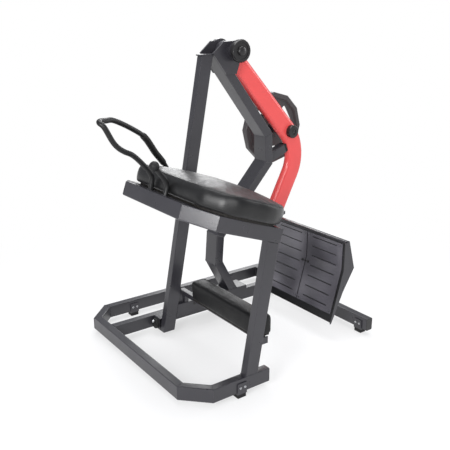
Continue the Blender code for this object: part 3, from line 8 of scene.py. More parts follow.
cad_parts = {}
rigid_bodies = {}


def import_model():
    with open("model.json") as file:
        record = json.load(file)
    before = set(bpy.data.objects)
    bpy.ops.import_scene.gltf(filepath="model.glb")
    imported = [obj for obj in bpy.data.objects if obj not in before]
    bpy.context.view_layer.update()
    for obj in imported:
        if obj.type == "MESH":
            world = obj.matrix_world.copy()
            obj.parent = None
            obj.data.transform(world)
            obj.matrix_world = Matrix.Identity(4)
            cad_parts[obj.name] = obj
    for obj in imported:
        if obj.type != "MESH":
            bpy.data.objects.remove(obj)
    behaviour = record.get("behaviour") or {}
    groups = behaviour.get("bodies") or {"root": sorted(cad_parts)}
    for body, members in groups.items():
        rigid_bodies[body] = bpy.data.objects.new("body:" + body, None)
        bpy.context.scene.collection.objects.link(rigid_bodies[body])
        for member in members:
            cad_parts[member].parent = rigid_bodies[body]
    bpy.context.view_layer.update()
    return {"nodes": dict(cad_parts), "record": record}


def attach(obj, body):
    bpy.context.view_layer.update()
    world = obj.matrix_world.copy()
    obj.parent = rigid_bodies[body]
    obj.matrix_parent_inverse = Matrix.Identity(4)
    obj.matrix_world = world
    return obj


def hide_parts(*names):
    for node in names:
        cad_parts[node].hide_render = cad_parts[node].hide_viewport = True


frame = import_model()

COLLECTION = bpy.context.scene.collection
X = Vector((1, 0, 0))
Y = Vector((0, 1, 0))
Z = Vector((0, 0, 1))

for old in list(bpy.data.objects):
    if old.name in ("Cube", "Light", "Camera"):
        bpy.data.objects.remove(old, do_unlink=True)


# Camera

def make_camera():
    data = bpy.data.cameras.new("camera")
    data.lens = 51.04
    data.sensor_width = 36
    camera = bpy.data.objects.new("camera", data)
    camera.location = (-2.194, -2.942, 1.9)
    camera.rotation_euler = (math.radians(72.3), 0, math.radians(-35.9))
    COLLECTION.objects.link(camera)
    bpy.context.scene.camera = camera


make_camera()


# Shader helpers

# Where a noise texture's values are taken as its low and high ends
NOISE_LOW, NOISE_HIGH = 0.3, 0.7
NOISE_ROUGHNESS = 0.55
# How far the rounded normal looks, and its agreement with the true one off and on an edge
EDGE_RADIUS = 0.0022
OFF_EDGE, ON_EDGE = 0.995, 0.86


def linear(*colour):
    """A colour given as it looks on screen, 0 to 255, as linear values."""
    shares = [channel / 255 for channel in colour]
    return tuple(c / 12.92 if c <= 0.04045 else ((c + 0.055) / 1.055) ** 2.4 for c in shares)


def scaled(colour, factor):
    return tuple(channel * factor for channel in colour)


def feed(tree, node, inputs):
    """Set a node's inputs, by name or number, each to a value or from a socket."""
    for name, value in inputs.items():
        if isinstance(value, bpy.types.NodeSocket):
            tree.links.new(value, node.inputs[name])
        else:
            node.inputs[name].default_value = value


def add_node(tree, kind, inputs=None, **settings):
    node = tree.nodes.new(kind)
    for name, value in settings.items():
        setattr(node, name, value)
    feed(tree, node, inputs or {})
    return node


def multiplied(tree, first, second):
    return add_node(tree, "ShaderNodeMath", {0: first, 1: second}, operation="MULTIPLY").outputs[0]


def noise_value(tree, at, scale, detail=3.0):
    inputs = {"Vector": at, "Scale": scale, "Detail": detail, "Roughness": NOISE_ROUGHNESS}
    return add_node(tree, "ShaderNodeTexNoise", inputs).outputs["Fac"]


def ramp(tree, factor, low, high, first, last):
    """Map a factor between two positions onto two colours."""
    node = add_node(tree, "ShaderNodeValToRGB", {"Fac": factor})
    stops = node.color_ramp.elements
    stops[0].position, stops[1].position = low, high
    stops[0].color = (*first, 1)
    stops[1].color = (*last, 1)
    return node.outputs["Color"]


def span(tree, factor, low, high, first, last, **settings):
    """Map a factor between two positions onto two numbers."""
    inputs = {"Value": factor, "From Min": low, "From Max": high, "To Min": first, "To Max": last}
    return add_node(tree, "ShaderNodeMapRange", inputs, **settings).outputs["Result"]


def drift(tree, at, first, last, scale, detail=3.0):
    """A colour or a number that drifts between two values over the surface."""
    spread = ramp if isinstance(first, tuple) else span
    return spread(tree, noise_value(tree, at, scale, detail), NOISE_LOW, NOISE_HIGH, first, last)


def mixed(tree, factor, first, second):
    """A blend of two colours, each a tuple or a socket."""
    inputs = {"Factor": factor}
    for name, value in (("A", first), ("B", second)):
        inputs[name] = (*value, 1) if isinstance(value, tuple) else value
    return add_node(tree, "ShaderNodeMix", inputs, data_type="RGBA").outputs["Result"]


def bump(tree, height, strength, distance, before=None):
    inputs = {"Height": height, "Strength": strength, "Distance": distance}
    if before is not None:
        inputs["Normal"] = before
    return add_node(tree, "ShaderNodeBump", inputs).outputs["Normal"]


def edge_mask(tree):
    """1 near sharp or tightly rounded edges, from how far a rounded normal turns away."""
    rounded = add_node(tree, "ShaderNodeBevel", {"Radius": EDGE_RADIUS}, samples=4)
    surface = add_node(tree, "ShaderNodeNewGeometry")
    normals = {0: rounded.outputs["Normal"], 1: surface.outputs["True Normal"]}
    dot = add_node(tree, "ShaderNodeVectorMath", normals, operation="DOT_PRODUCT")
    return span(tree, dot.outputs["Value"], OFF_EDGE, ON_EDGE, 0.0, 1.0)


# Stage and light

FLOOR_HALF = 30
FLOOR_COLOUR, COOL, WHITE = (0.86, 0.86, 0.87, 1), (0.93, 0.95, 1, 1), (1, 1, 1, 1)
# The floor's glow by distance from the middle, in metres and as a share
GLOW_NEAR, GLOW_FAR = 1.2, 2.6
GLOW_LEAST, GLOW_MOST = 0.60, 1.0
# Name, place, point aimed at, width and height, power
LIGHTS = (
    ("key", (-3.5, -1.9, 2.0), (-0.1, -0.2, 0.9), (1.1, 1.4), 100),
    ("front", (-1.8, -3.9, 2.4), (0, 0, 0.7), (2.0, 1.6), 58),
    ("side", (3.7, -1.0, 2.4), (0, 0, 0.8), (1.6, 2.2), 40),
    ("top", (0.2, 0.4, 4.2), (0, 0, 0.8), (3.0, 3.0), 120),
    ("rear", (2.4, 3.2, 2.4), (0, 0, 0.9), (2.0, 2.0), 50),
)


def seen_factor(tree, strength):
    """Strength for the rays that show the floor: camera, glossy and transmission rays."""
    path = add_node(tree, "ShaderNodeLightPath").outputs
    seen = path["Is Camera Ray"]
    for name in ("Is Glossy Ray", "Is Transmission Ray"):
        either = add_node(tree, "ShaderNodeMath", {0: seen, 1: path[name]}, operation="MAXIMUM")
        seen = either.outputs[0]
    return multiplied(tree, seen, strength)


def cleared_tree(owner):
    owner.use_nodes = True
    owner.node_tree.nodes.clear()
    return owner.node_tree


def show_blend(tree, output, share, first, second):
    """Lead two shaders to an output; share is how much of the second is seen."""
    inputs = {"Fac": share, 1: first.outputs[0], 2: second.outputs[0]}
    mix = add_node(tree, "ShaderNodeMixShader", inputs)
    add_node(tree, output, {"Surface": mix.outputs[0]})


def floor_look():
    """Pale and diffuse, and glowing for the eye so that it runs into the white backdrop."""
    look = bpy.data.materials.new("floor")
    tree = cleared_tree(look)
    place = add_node(tree, "ShaderNodeNewGeometry").outputs["Position"]
    distance = add_node(tree, "ShaderNodeVectorMath", {0: place}, operation="LENGTH").outputs["Value"]
    share = span(tree, distance, GLOW_NEAR, GLOW_FAR, GLOW_LEAST, GLOW_MOST,
                 interpolation_type="SMOOTHSTEP")
    plain = add_node(tree, "ShaderNodeBsdfDiffuse", {"Color": FLOOR_COLOUR})
    glow = add_node(tree, "ShaderNodeEmission", {"Color": WHITE})
    show_blend(tree, "ShaderNodeOutputMaterial", seen_factor(tree, share), plain, glow)
    return look


def make_floor():
    bm = bmesh.new()
    corners = ((-1, -1), (1, -1), (1, 1), (-1, 1))
    bm.faces.new([bm.verts.new((x * FLOOR_HALF, y * FLOOR_HALF, 0)) for x, y in corners])
    mesh = bpy.data.meshes.new("floor")
    bm.to_mesh(mesh)
    bm.free()
    mesh.materials.append(floor_look())
    floor = bpy.data.objects.new("floor", mesh)
    COLLECTION.objects.link(floor)


def make_world():
    """A dim cool light all round, which the camera sees as plain white."""
    world = bpy.data.worlds.new("studio")
    bpy.context.scene.world = world
    tree = cleared_tree(world)
    seen = add_node(tree, "ShaderNodeLightPath").outputs["Is Camera Ray"]
    light = add_node(tree, "ShaderNodeBackground", {"Color": COOL, "Strength": 0.45})
    backdrop = add_node(tree, "ShaderNodeBackground", {"Color": WHITE, "Strength": 1.0})
    show_blend(tree, "ShaderNodeOutputWorld", seen, light, backdrop)


def make_light(name, place, aim, size, power):
    data = bpy.data.lights.new(name, "AREA")
    data.shape = "RECTANGLE"
    data.size, data.size_y = size
    data.energy = power
    lamp = bpy.data.objects.new(name, data)
    lamp.location = place
    lamp.rotation_mode = "QUATERNION"
    lamp.rotation_quaternion = (Vector(aim) - Vector(place)).to_track_quat("-Z", "Y")
    COLLECTION.objects.link(lamp)


make_floor()
make_world()
for light in LIGHTS:
    make_light(*light)
bpy.context.scene.view_settings.view_transform = "Standard"


# Materials

def base_material(name, specular=0.5, metallic=0.0):
    look = bpy.data.materials.new(name)
    look.use_nodes = True
    tree = look.node_tree
    shader = tree.nodes["Principled BSDF"]
    feed(tree, shader, {"Metallic": metallic, "Specular IOR Level": specular})
    return look, tree, shader, add_node(tree, "ShaderNodeTexCoord").outputs["Object"]


def coated(name, colour, roughness, peel=0.10, edge=0.35, specular=0.5, cloud=0.10, detail=3.0,
           front=None):
    """Powder coat or paint: cloudy tone, orange peel and paler edges, partly rubbed wear and partly a
    painted highlight.

    front is a darker colour painted on the faces that look towards the user, as painted shade, when it is
    another one.
    """
    look, tree, shader, at = base_material(name, specular)
    light, dark = scaled(colour, 1 + cloud), scaled(colour, 1 - cloud)
    tone = drift(tree, at, dark, light, scale=5.0, detail=detail)
    if front is not None:
        facing = add_node(tree, "ShaderNodeTexCoord").outputs["Normal"]
        apart = add_node(tree, "ShaderNodeSeparateXYZ", {0: facing})
        # Faces turned towards the user take the darker front colour: painted shade
        painted_shade_share = span(tree, apart.outputs["X"], -0.55, -0.75, 0.0, 1.0)
        tone = mixed(tree, painted_shade_share, tone, front)
    # Paler edges: partly rubbed wear, partly a painted highlight along the corners
    wear_and_highlight_tone = tuple(min(1.0, channel * 1.9 + 0.03) for channel in colour)
    patchy = span(tree, noise_value(tree, at, scale=42.0, detail=4.0), 0.40, 0.72, 0.25, 1.0)
    wear_and_highlight = multiplied(tree, multiplied(tree, edge_mask(tree), patchy), edge)
    feed(tree, shader, {
        "Base Color": mixed(tree, wear_and_highlight, tone, wear_and_highlight_tone),
        "Roughness": drift(tree, at, roughness * 0.86, roughness * 1.16, scale=11.0),
        "Normal": bump(tree, noise_value(tree, at, scale=700.0, detail=2.0), peel, distance=0.0006),
    })
    return look


def leather(name, colour, roughness, specular=0.42):
    """Synthetic leather: small pebbled grain, faint creases and a soft sheen."""
    look, tree, shader, at = base_material(name, specular)
    wobble = add_node(tree, "ShaderNodeTexNoise", {"Vector": at, "Scale": 60.0}).outputs["Color"]
    warp = add_node(tree, "ShaderNodeMix", {"Factor": 0.002, "A": at, "B": wobble}, data_type="VECTOR")
    cells = add_node(tree, "ShaderNodeTexVoronoi", {"Vector": warp.outputs["Result"], "Scale": 520.0},
                     feature="DISTANCE_TO_EDGE")
    grain = span(tree, cells.outputs["Distance"], 0.0, 0.25, 0.0, 1.0)
    creases = bump(tree, noise_value(tree, at, scale=28.0, detail=4.0), strength=0.12, distance=0.002)
    feed(tree, shader, {
        "Sheen Weight": 0.02,
        "Sheen Roughness": 0.5,
        "Base Color": drift(tree, at, scaled(colour, 0.75), colour, scale=7.0),
        "Roughness": drift(tree, at, roughness * 0.85, roughness * 1.2, scale=16.0),
        "Normal": bump(tree, grain, strength=0.22, distance=0.00035, before=creases),
    })
    return look


def rubber(name, colour, roughness, scale=900.0, depth=0.25):
    look, tree, shader, at = base_material(name, 0.35)
    feed(tree, shader, {
        "Base Color": drift(tree, at, scaled(colour, 0.8), colour, scale=30.0),
        "Roughness": drift(tree, at, roughness * 0.9, roughness * 1.1, scale=60.0),
        "Normal": bump(tree, noise_value(tree, at, scale, detail=2.0), depth, distance=0.0005),
    })
    return look


def steel(name, colour, roughness):
    """Plated or ground steel with a fine uneven grain."""
    look, tree, shader, at = base_material(name, metallic=1.0)
    grain = noise_value(tree, at, scale=1500.0, detail=1.0)
    feed(tree, shader, {
        "Base Color": drift(tree, at, scaled(colour, 0.85), colour, scale=90.0),
        "Roughness": drift(tree, at, roughness * 0.75, roughness * 1.3, scale=300.0),
        "Normal": bump(tree, grain, strength=0.08, distance=0.0003),
    })
    return look


def board(name, colour):
    look, tree, shader, at = base_material(name, 0.3)
    waves = {"Vector": at, "Scale": 18.0, "Distortion": 6.0}
    grain = add_node(tree, "ShaderNodeTexWave", waves).outputs["Fac"]
    feed(tree, shader, {
        "Base Color": mixed(tree, grain, scaled(colour, 0.6), colour),
        "Roughness": 0.72,
        "Normal": bump(tree, grain, strength=0.15, distance=0.0006),
    })
    return look


COAT = coated("charcoal_powder_coat", linear(46, 45, 50), 0.31, specular=0.62)
RED = coated("coral_red_paint", (0.75, 0.080, 0.078), 0.22, peel=0.03, edge=0.40, cloud=0.04)
# Broad soft patches of lighter and darker tone on the panels: painted reflections
PANEL_PAINTED_REFLECTIONS = coated("grey_panel_painted_reflections", linear(84, 82, 88), 0.17, peel=0.015, edge=0.25, cloud=0.35, detail=0.0)
LEATHER = leather("black_leather", linear(23, 23, 24), 0.34)
# A darker, less glossy copy of the bench leather: painted shade for the knee pad's dark front
KNEE_LEATHER_PAINTED_SHADE = leather("knee_pad_leather_painted_shade", linear(17, 17, 18), 0.38, specular=0.24)
PIPING = leather("black_piping", linear(20, 20, 21), 0.42)
GRIP = rubber("handle_grip", linear(24, 24, 25), 0.42, scale=1100.0, depth=0.30)
FOAM = rubber("foam_sleeve", linear(26, 26, 26), 0.58, scale=500.0, depth=0.45)
RUBBER = rubber("black_rubber", linear(22, 22, 23), 0.62)
PLASTIC = coated("black_plastic", linear(27, 26, 27), 0.30, peel=0.06, edge=0.20)
IRON = coated("coated_iron", linear(62, 58, 60), 0.48, peel=0.35, edge=0.4)
ZINC = steel("zinc_steel", (0.72, 0.73, 0.75), 0.26)
BLACKENED = steel("blackened_steel", (0.20, 0.20, 0.21), 0.32)
GROUND = steel("ground_steel", (0.60, 0.60, 0.62), 0.30)
# The frame's coat with its faces towards the user painted darker: painted shade
TRAY_WITH_PAINTED_SHADE = coated("tray_coat_painted_shade", linear(46, 45, 50), 0.31, specular=0.62, front=linear(17, 17, 19))
WOOD = board("sealed_board", linear(34, 31, 29))
THREAD = rubber("thread", linear(40, 40, 40), 0.6, scale=1500.0, depth=0.4)

SLOT_LOOKS = {
    "frame_paint": COAT,
    "red_paint": RED,
    "pad_leather": LEATHER,
    "pad_board": WOOD,
    "handle_grip": GRIP,
    "black_plastic": PLASTIC,
    "black_rubber": RUBBER,
    "plate_rubber": IRON,
    "panel_grey": PANEL_PAINTED_REFLECTIONS,
    "bearing_steel": GROUND,
}

# Nodes whose surface differs from the rest of their slot: the tray's front faces carry painted shade
NODE_LOOKS = {"platform_tray": TRAY_WITH_PAINTED_SHADE}


# Carried-over nodes: material, round shading and softened edges

MERGE_DISTANCE = 0.00002
ROUND_BELOW = math.radians(38)
SOFTEN_ABOVE = math.radians(50)
# How wide the sharp edges of a node are softened
SOFTENED = {
    "post_cap_plate": 0.0012, "near_cheek_plate": 0.0014, "far_cheek_plate": 0.0014,
    "tall_post": 0.0006, "platform_tray": 0.0006, "platform_top_bar": 0.0008,
    "near_rail_cap": 0.0012, "far_rail_cap": 0.0012, "crossbar_cap": 0.0012,
    "stop_rubber": 0.0020, "near_panel": 0.0005, "far_panel": 0.0005,
    "weight_plate": 0.0030,
}
for corner in ("near", "far", "rear_near", "rear_far"):
    SOFTENED[corner + "_foot_bracket"] = 0.0008
    SOFTENED[corner + "_rubber_foot"] = 0.0012


def smoothing_group():
    """Geometry nodes that weld the imported triangles and shade shallow edges round."""
    group = bpy.data.node_groups.new("smooth_shallow_edges", "GeometryNodeTree")
    for in_out in ("INPUT", "OUTPUT"):
        group.interface.new_socket("Geometry", in_out=in_out, socket_type="NodeSocketGeometry")
    start = add_node(group, "NodeGroupInput")
    angle = add_node(group, "GeometryNodeInputMeshEdgeAngle").outputs["Unsigned Angle"]
    shallow = add_node(group, "FunctionNodeCompare", data_type="FLOAT", operation="LESS_EQUAL")
    feed(group, shallow, {"A": angle, "B": ROUND_BELOW})
    weld = add_node(group, "GeometryNodeMergeByDistance")
    feed(group, weld, {"Geometry": start.outputs[0], "Distance": MERGE_DISTANCE})
    faces = add_node(group, "GeometryNodeSetShadeSmooth", domain="FACE")
    feed(group, faces, {"Geometry": weld.outputs["Geometry"]})
    edges = add_node(group, "GeometryNodeSetShadeSmooth", domain="EDGE")
    feed(group, edges, {"Geometry": faces.outputs["Geometry"], "Shade Smooth": shallow.outputs["Result"]})
    add_node(group, "NodeGroupOutput", {0: edges.outputs["Geometry"]})
    return group


def round_shading(obj, group):
    obj.modifiers.new("shading", "NODES").node_group = group
    normals = obj.modifiers.new("normals", "WEIGHTED_NORMAL")
    normals.keep_sharp = True
    normals.weight = 80


def soften(obj, width):
    """A small bevel on the sharp edges, so that they catch the light."""
    obj.modifiers.new("weld", "WELD").merge_threshold = MERGE_DISTANCE
    bevel = obj.modifiers.new("edges", "BEVEL")
    bevel.width = width
    bevel.segments = 2
    bevel.limit_method = "ANGLE"
    bevel.angle_limit = SOFTEN_ABOVE
    bevel.use_clamp_overlap = True


def dress_nodes():
    group = smoothing_group()
    slots = {row["node"]: row["material_slot"] for row in frame["record"]["subparts"]}
    for name, node in frame["nodes"].items():
        node.data.materials.clear()
        node.data.materials.append(NODE_LOOKS.get(name, SLOT_LOOKS[slots[name]]))
        if name in SOFTENED:
            soften(node, SOFTENED[name])
        round_shading(node, group)


dress_nodes()


# Mesh helpers

def finish_piece(name, bm, look, body, angle=40):
    """Turn a bmesh into a piece of a body; edges sharper than the angle stay sharp."""
    bmesh.ops.recalc_face_normals(bm, faces=bm.faces)
    mesh = bpy.data.meshes.new(name)
    bm.to_mesh(mesh)
    bm.free()
    mesh.materials.append(look)
    mesh.shade_smooth()
    mesh.set_sharp_from_angle(angle=math.radians(angle))
    piece = bpy.data.objects.new(name, mesh)
    COLLECTION.objects.link(piece)
    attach(piece, body)
    return piece


def ring_verts(bm, points):
    return [bm.verts.new(point) for point in points]


def bridge(bm, first, second):
    count = len(first)
    for i in range(count):
        j = (i + 1) % count
        bm.faces.new((first[i], first[j], second[j], second[i]))


def loft(bm, rings, caps=2):
    """Join rings into a skin; caps is how many ends are closed, the first one first."""
    loops = [ring_verts(bm, ring) for ring in rings]
    for first, second in zip(loops, loops[1:]):
        bridge(bm, first, second)
    if caps > 0:
        bm.faces.new(list(reversed(loops[0])))
    if caps > 1:
        bm.faces.new(loops[-1])
    return loops


def fan(bm, loop, tip):
    for a, b in zip(loop, loop[1:] + loop[:1]):
        bm.faces.new((a, b, tip))


def axes_of(axis):
    """The axis at unit length, and two directions across it."""
    axis = axis.normalized()
    side = Z if abs(axis.z) < 0.9 else X
    side = (side - axis * side.dot(axis)).normalized()
    return axis, side, axis.cross(side)


def circle(middle, side, other, radius, segments):
    points = []
    for step in range(segments):
        angle = 2 * math.pi * step / segments
        points.append(middle + (side * math.cos(angle) + other * math.sin(angle)) * radius)
    return points


def turned(bm, profile, place, axis, segments=28):
    """Turn a profile of (radius, height) about an axis, from a flat foot to a pointed tip."""
    axis, side, other = axes_of(axis)
    *levels, (_, tip) = profile
    rings = [circle(place + axis * height, side, other, radius, segments) for radius, height in levels]
    last = loft(bm, rings, caps=1)[-1]
    fan(bm, last, bm.verts.new(place + axis * tip))


def sweep(bm, path, radii, segments, closed=False):
    """A round bar along a path; radii is one number or one for each point."""
    count = len(path)
    if isinstance(radii, float):
        radii = [radii] * count
    tangents = []
    for i in range(count):
        before = path[i - 1] if closed else path[max(i - 1, 0)]
        after = path[(i + 1) % count] if closed else path[min(i + 1, count - 1)]
        tangents.append((after - before).normalized())
    _, side, _ = axes_of(tangents[0])
    rings = []
    for point, tangent, radius in zip(path, tangents, radii):
        side = (side - tangent * side.dot(tangent)).normalized()
        rings.append(circle(point, side, tangent.cross(side), radius, segments))
    loops = loft(bm, rings, caps=0 if closed else 2)
    if closed:
        # The closing ring may be turned against the first one
        shift = min(range(segments), key=lambda k: (loops[-1][k].co - loops[0][0].co).length)
        bridge(bm, loops[-1][shift:] + loops[-1][:shift], loops[0])


def smooth_path(points, steps):
    """Points on a smooth curve through the given points."""
    padded = [points[0] * 2 - points[1]] + points + [points[-1] * 2 - points[-2]]
    path = []
    for a, b, c, d in zip(padded, padded[1:], padded[2:], padded[3:]):
        for step in range(steps):
            t = step / steps
            bend = (a * 2 - b * 5 + c * 4 - d) * (t * t)
            twist = (b * 3 - a - c * 3 + d) * (t * t * t)
            path.append((b * 2 + (c - a) * t + bend + twist) / 2)
    path.append(points[-1])
    return path


def rounded_corner(before, corner, after, shares):
    """Points on a soft curve that cuts a corner, from before to after."""
    return [before.lerp(corner, t).lerp(corner.lerp(after, t), t) for t in shares]


def evenly(path, count):
    """A closed path with its points spaced evenly."""
    closed = path + path[:1]
    lengths = [(b - a).length for a, b in zip(closed, closed[1:])]
    total = sum(lengths)
    points = []
    walked, index = 0.0, 0
    for step in range(count):
        target = total * step / count
        while walked + lengths[index] < target:
            walked += lengths[index]
            index += 1
        share = (target - walked) / lengths[index]
        points.append(closed[index].lerp(closed[index + 1], share))
    return points


def inward_at(plan, i):
    """The direction into a closed outline at one of its points."""
    tangent = (plan[(i + 1) % len(plan)] - plan[i - 1]).normalized()
    return Vector((-tangent.y, tangent.x))


def drawn_in(plan, distance):
    return [point + inward_at(plan, i) * distance for i, point in enumerate(plan)]


# Places that repeat the part's own sizes, in its drawing frame

# From the drawing frame to the world, where the machine's middle is at the origin
SHIFT = Vector((0.005624, 0.025, 0))
GAP = 0.0003
TUBE_WIDTH, TUBE_HEIGHT = 0.050, 0.080
BASE_FRONT, BASE_REAR = -0.718, 0.710
BASE_NEAR, BASE_FAR = -0.634, 0.633
BASE_LOW, BASE_TOP = 0.032, 0.112
BEAM_LOW, BEAM_TOP = 0.1203, 0.2006
POST_FOOT_X, POST_FOOT_Z, POST_TOP = -0.393, 0.036, 1.710
POST_DEPTH, POST_WIDTH = 0.080, 0.050
POST_LEAN = math.radians(10.46)
LEG_FRONT = -0.3745
LEG_LEAN = math.radians(10.24)
MAST_NEAR, MAST_FAR, MAST_DEPTH = 0.183, 0.303, 0.060
BENCH_SLOPE = math.radians(19.5)
BENCH_FRONT = Vector((-0.640, 0, 1.067)) + SHIFT
BENCH_LENGTH = 0.5304
BENCH_FAR = MAST_NEAR - GAP
BOARD_TOP = 0.012 + 2 * GAP
ALONG = Vector((math.cos(BENCH_SLOPE), 0, -math.sin(BENCH_SLOPE)))
UP = Vector((math.sin(BENCH_SLOPE), 0, math.cos(BENCH_SLOPE)))


def drawn(x, y, z):
    """A point given in the part's drawing frame."""
    return Vector((x, y, z)) + SHIFT


def bench_point(along, y, up=0.0):
    """A point on the bench, y in the part's drawing frame."""
    return BENCH_FRONT + ALONG * along + Y * y + UP * up


def post_rear(z):
    front = POST_FOOT_X + math.tan(POST_LEAN) * (z - POST_FOOT_Z)
    return front + POST_DEPTH / math.cos(POST_LEAN)


# Cushions: built as rings, then filled out by a cloth simulation

# The numbers beside a place in noise() are only its scale and the slice that is taken
CLOTH_FRAMES = 16
CLOTH_SETTINGS = {
    "quality": 5, "mass": 0.4, "vertex_group_mass": "held",
    "tension_stiffness": 30, "compression_stiffness": 30,
    "shear_stiffness": 12, "bending_stiffness": 4.0,
    "use_pressure": True, "uniform_pressure_force": 1.2,
}
STITCH_PITCH, STITCH_LENGTH, STITCH_RADIUS = 0.0062, 0.0042, 0.00055


def fill_out(piece, held, cap, spare):
    """Blow the leather up under pressure between its held seams, moving no point past the cap.

    spare is the share by which the leather is larger than its form.
    """
    scene = bpy.context.scene
    group = piece.vertex_groups.new(name="held")
    group.add(held, 1.0, "REPLACE")
    cloth = piece.modifiers.new("leather", "CLOTH")
    for name, value in CLOTH_SETTINGS.items():
        setattr(cloth.settings, name, value)
    cloth.settings.shrink_min = -spare
    cloth.settings.effector_weights.gravity = 0
    cloth.collision_settings.use_collision = False
    cloth.point_cache.frame_start = 1
    cloth.point_cache.frame_end = CLOTH_FRAMES
    for moment in range(1, CLOTH_FRAMES + 1):
        scene.frame_set(moment)
    evaluated = piece.evaluated_get(bpy.context.evaluated_depsgraph_get())
    filled = [v.co.copy() for v in evaluated.data.vertices]
    for vertex, target in zip(piece.data.vertices, filled):
        move = target - vertex.co
        # The cap is reached softly, so that no flat plateau is left
        vertex.co += move * (cap / (cap + move.length))
    piece.modifiers.remove(cloth)
    piece.vertex_groups.remove(group)
    scene.frame_set(1)


def add_stitches(bm, closed_path):
    """Short rounded threads laid along a closed path."""
    points = closed_path + closed_path[:1]
    walked = 0.0
    next_at = 0.0
    for a, b in zip(points, points[1:]):
        step = (b - a).length
        direction = (b - a).normalized()
        while next_at < walked + step:
            start = a + direction * (next_at - walked)
            path = [start + direction * STITCH_LENGTH * share for share in (0.0, 0.5, 1.0)]
            sweep(bm, path, [STITCH_RADIUS * 0.5, STITCH_RADIUS, STITCH_RADIUS * 0.5], 5)
            next_at += STITCH_PITCH
        walked += step


# Bench pad

# Corners of its plan: along and across the bench, and the radius
PAD_CORNERS = (
    (0.041, 0.145, 0.085),
    (0.041, -0.530, 0.110),
    (0.136, -0.680, 0.130),
    (0.606, -0.680, 0.270),
    (0.606, 0.145, 0.160),
)
PAD_CORNER_STEPS = 24
PAD_POINTS = 240
PAD_TOP_RINGS = 26
PAD_THICKNESS = 0.100
PAD_CROWN = 0.036
# The underside lies flat on its board, and is held up to the lower edge of the side
PAD_FLAT_BELOW = 0.002
PAD_HELD_BELOW = 0.004
GROOVE_HEIGHT = 0.0926
# (distance inwards, height) up the pad's side, over the seam's groove to the top
PAD_SIDE = (
    (0.050, 0.0000), (0.026, 0.0000), (0.0145, 0.0006), (0.0080, 0.0030), (0.0035, 0.0080),
    (0.0008, 0.0160), (-0.0012, 0.0270), (-0.0026, 0.0390), (-0.0030, 0.0510),
    (-0.0024, 0.0620), (-0.0008, 0.0720), (0.0018, 0.0810), (0.0050, 0.0880),
    (0.0078, 0.0920), (0.0094, GROOVE_HEIGHT), (0.0104, GROOVE_HEIGHT), (0.0118, 0.0946),
    (0.0150, 0.0972), (0.0200, 0.0992),
)
PAD_TOP_INSET = 0.020
# Pulls in the leather: beside the seam, lower on the side, over the top and at the top's rim
SEAM_HEIGHT, SEAM_REACH = 0.0935, 0.012
SEAM_PULL, SIDE_PULL, TOP_UNEVEN, RIM_PULL = 0.0011, 0.0022, 0.0011, 0.0016
RIM_FROM, RIM_WIDTH = 0.80, 0.2
# Pulls on the side are broader and weaker, and the top's middle lies just below its peak
SIDE_BREADTH, SIDE_SHARE = 0.35, 0.6
TOP_DIP = 0.0008
PAD_CAP, PAD_SPARE = 0.005, 0.0012
# Piping and stitches: (distance inwards, height)
PIPING_PLACE = (0.0098, 0.0932)
PIPING_RADIUS = 0.0019
STITCH_ROWS = ((0.0052, 0.0889), (0.0165, 0.0986))


def rounded_plan(corners, count):
    path = []
    for i, (u, v, radius) in enumerate(corners):
        here = Vector((u, v))
        before = Vector(corners[i - 1][:2]) - here
        after = Vector(corners[(i + 1) % len(corners)][:2]) - here
        half = before.angle(after) / 2
        reach = radius / math.tan(half)
        bisector = (before.normalized() + after.normalized()).normalized()
        centre = here + bisector * radius / math.sin(half)
        start = here + before.normalized() * reach - centre
        end = here + after.normalized() * reach - centre
        turn = start.angle_signed(end)
        for step in range(PAD_CORNER_STEPS + 1):
            path.append(centre + Matrix.Rotation(-turn * step / PAD_CORNER_STEPS, 2) @ start)
    return evenly(path, count)


def pucker(position, amount):
    """Small pulls in the leather, at two scales."""
    value = noise.noise(position * 26.0) + 0.5 * noise.noise(position * 61.0)
    return amount * value


def pad_side_ring(plan, distance, height):
    """A ring of the side, with pulls that change character near the top seam."""
    near_seam = math.exp(-((height - SEAM_HEIGHT) / SEAM_REACH) ** 2)
    ring = []
    for i, p in enumerate(drawn_in(plan, distance)):
        point = bench_point(p.x, p.y, BOARD_TOP + height)
        inward = inward_at(plan, i)
        broad = pucker(point * SIDE_BREADTH, SIDE_PULL) * (1 - near_seam) * SIDE_SHARE
        pull = pucker(point, SEAM_PULL) * near_seam + broad
        if height < PAD_FLAT_BELOW:
            pull = 0
        ring.append(point + (ALONG * inward.x + Y * inward.y) * pull)
    return ring


def pad_top_ring(rim, middle, share):
    """A ring of the crowned top; share is 1 at the rim and 0 in the middle."""
    crown = PAD_CROWN * (1 - share * share)
    ring = []
    for p in rim:
        q = middle.lerp(p, share)
        uneven = TOP_UNEVEN * noise.noise(Vector((q.x * 9, q.y * 9, 3.1)))
        height = PAD_THICKNESS + crown - TOP_DIP * (1 - share) + uneven
        rim_pull = pucker(Vector((p.x, p.y, 0.4)), RIM_PULL) * max(0.0, (share - RIM_FROM) / RIM_WIDTH)
        ring.append(bench_point(q.x, q.y, BOARD_TOP + height + rim_pull))
    return ring


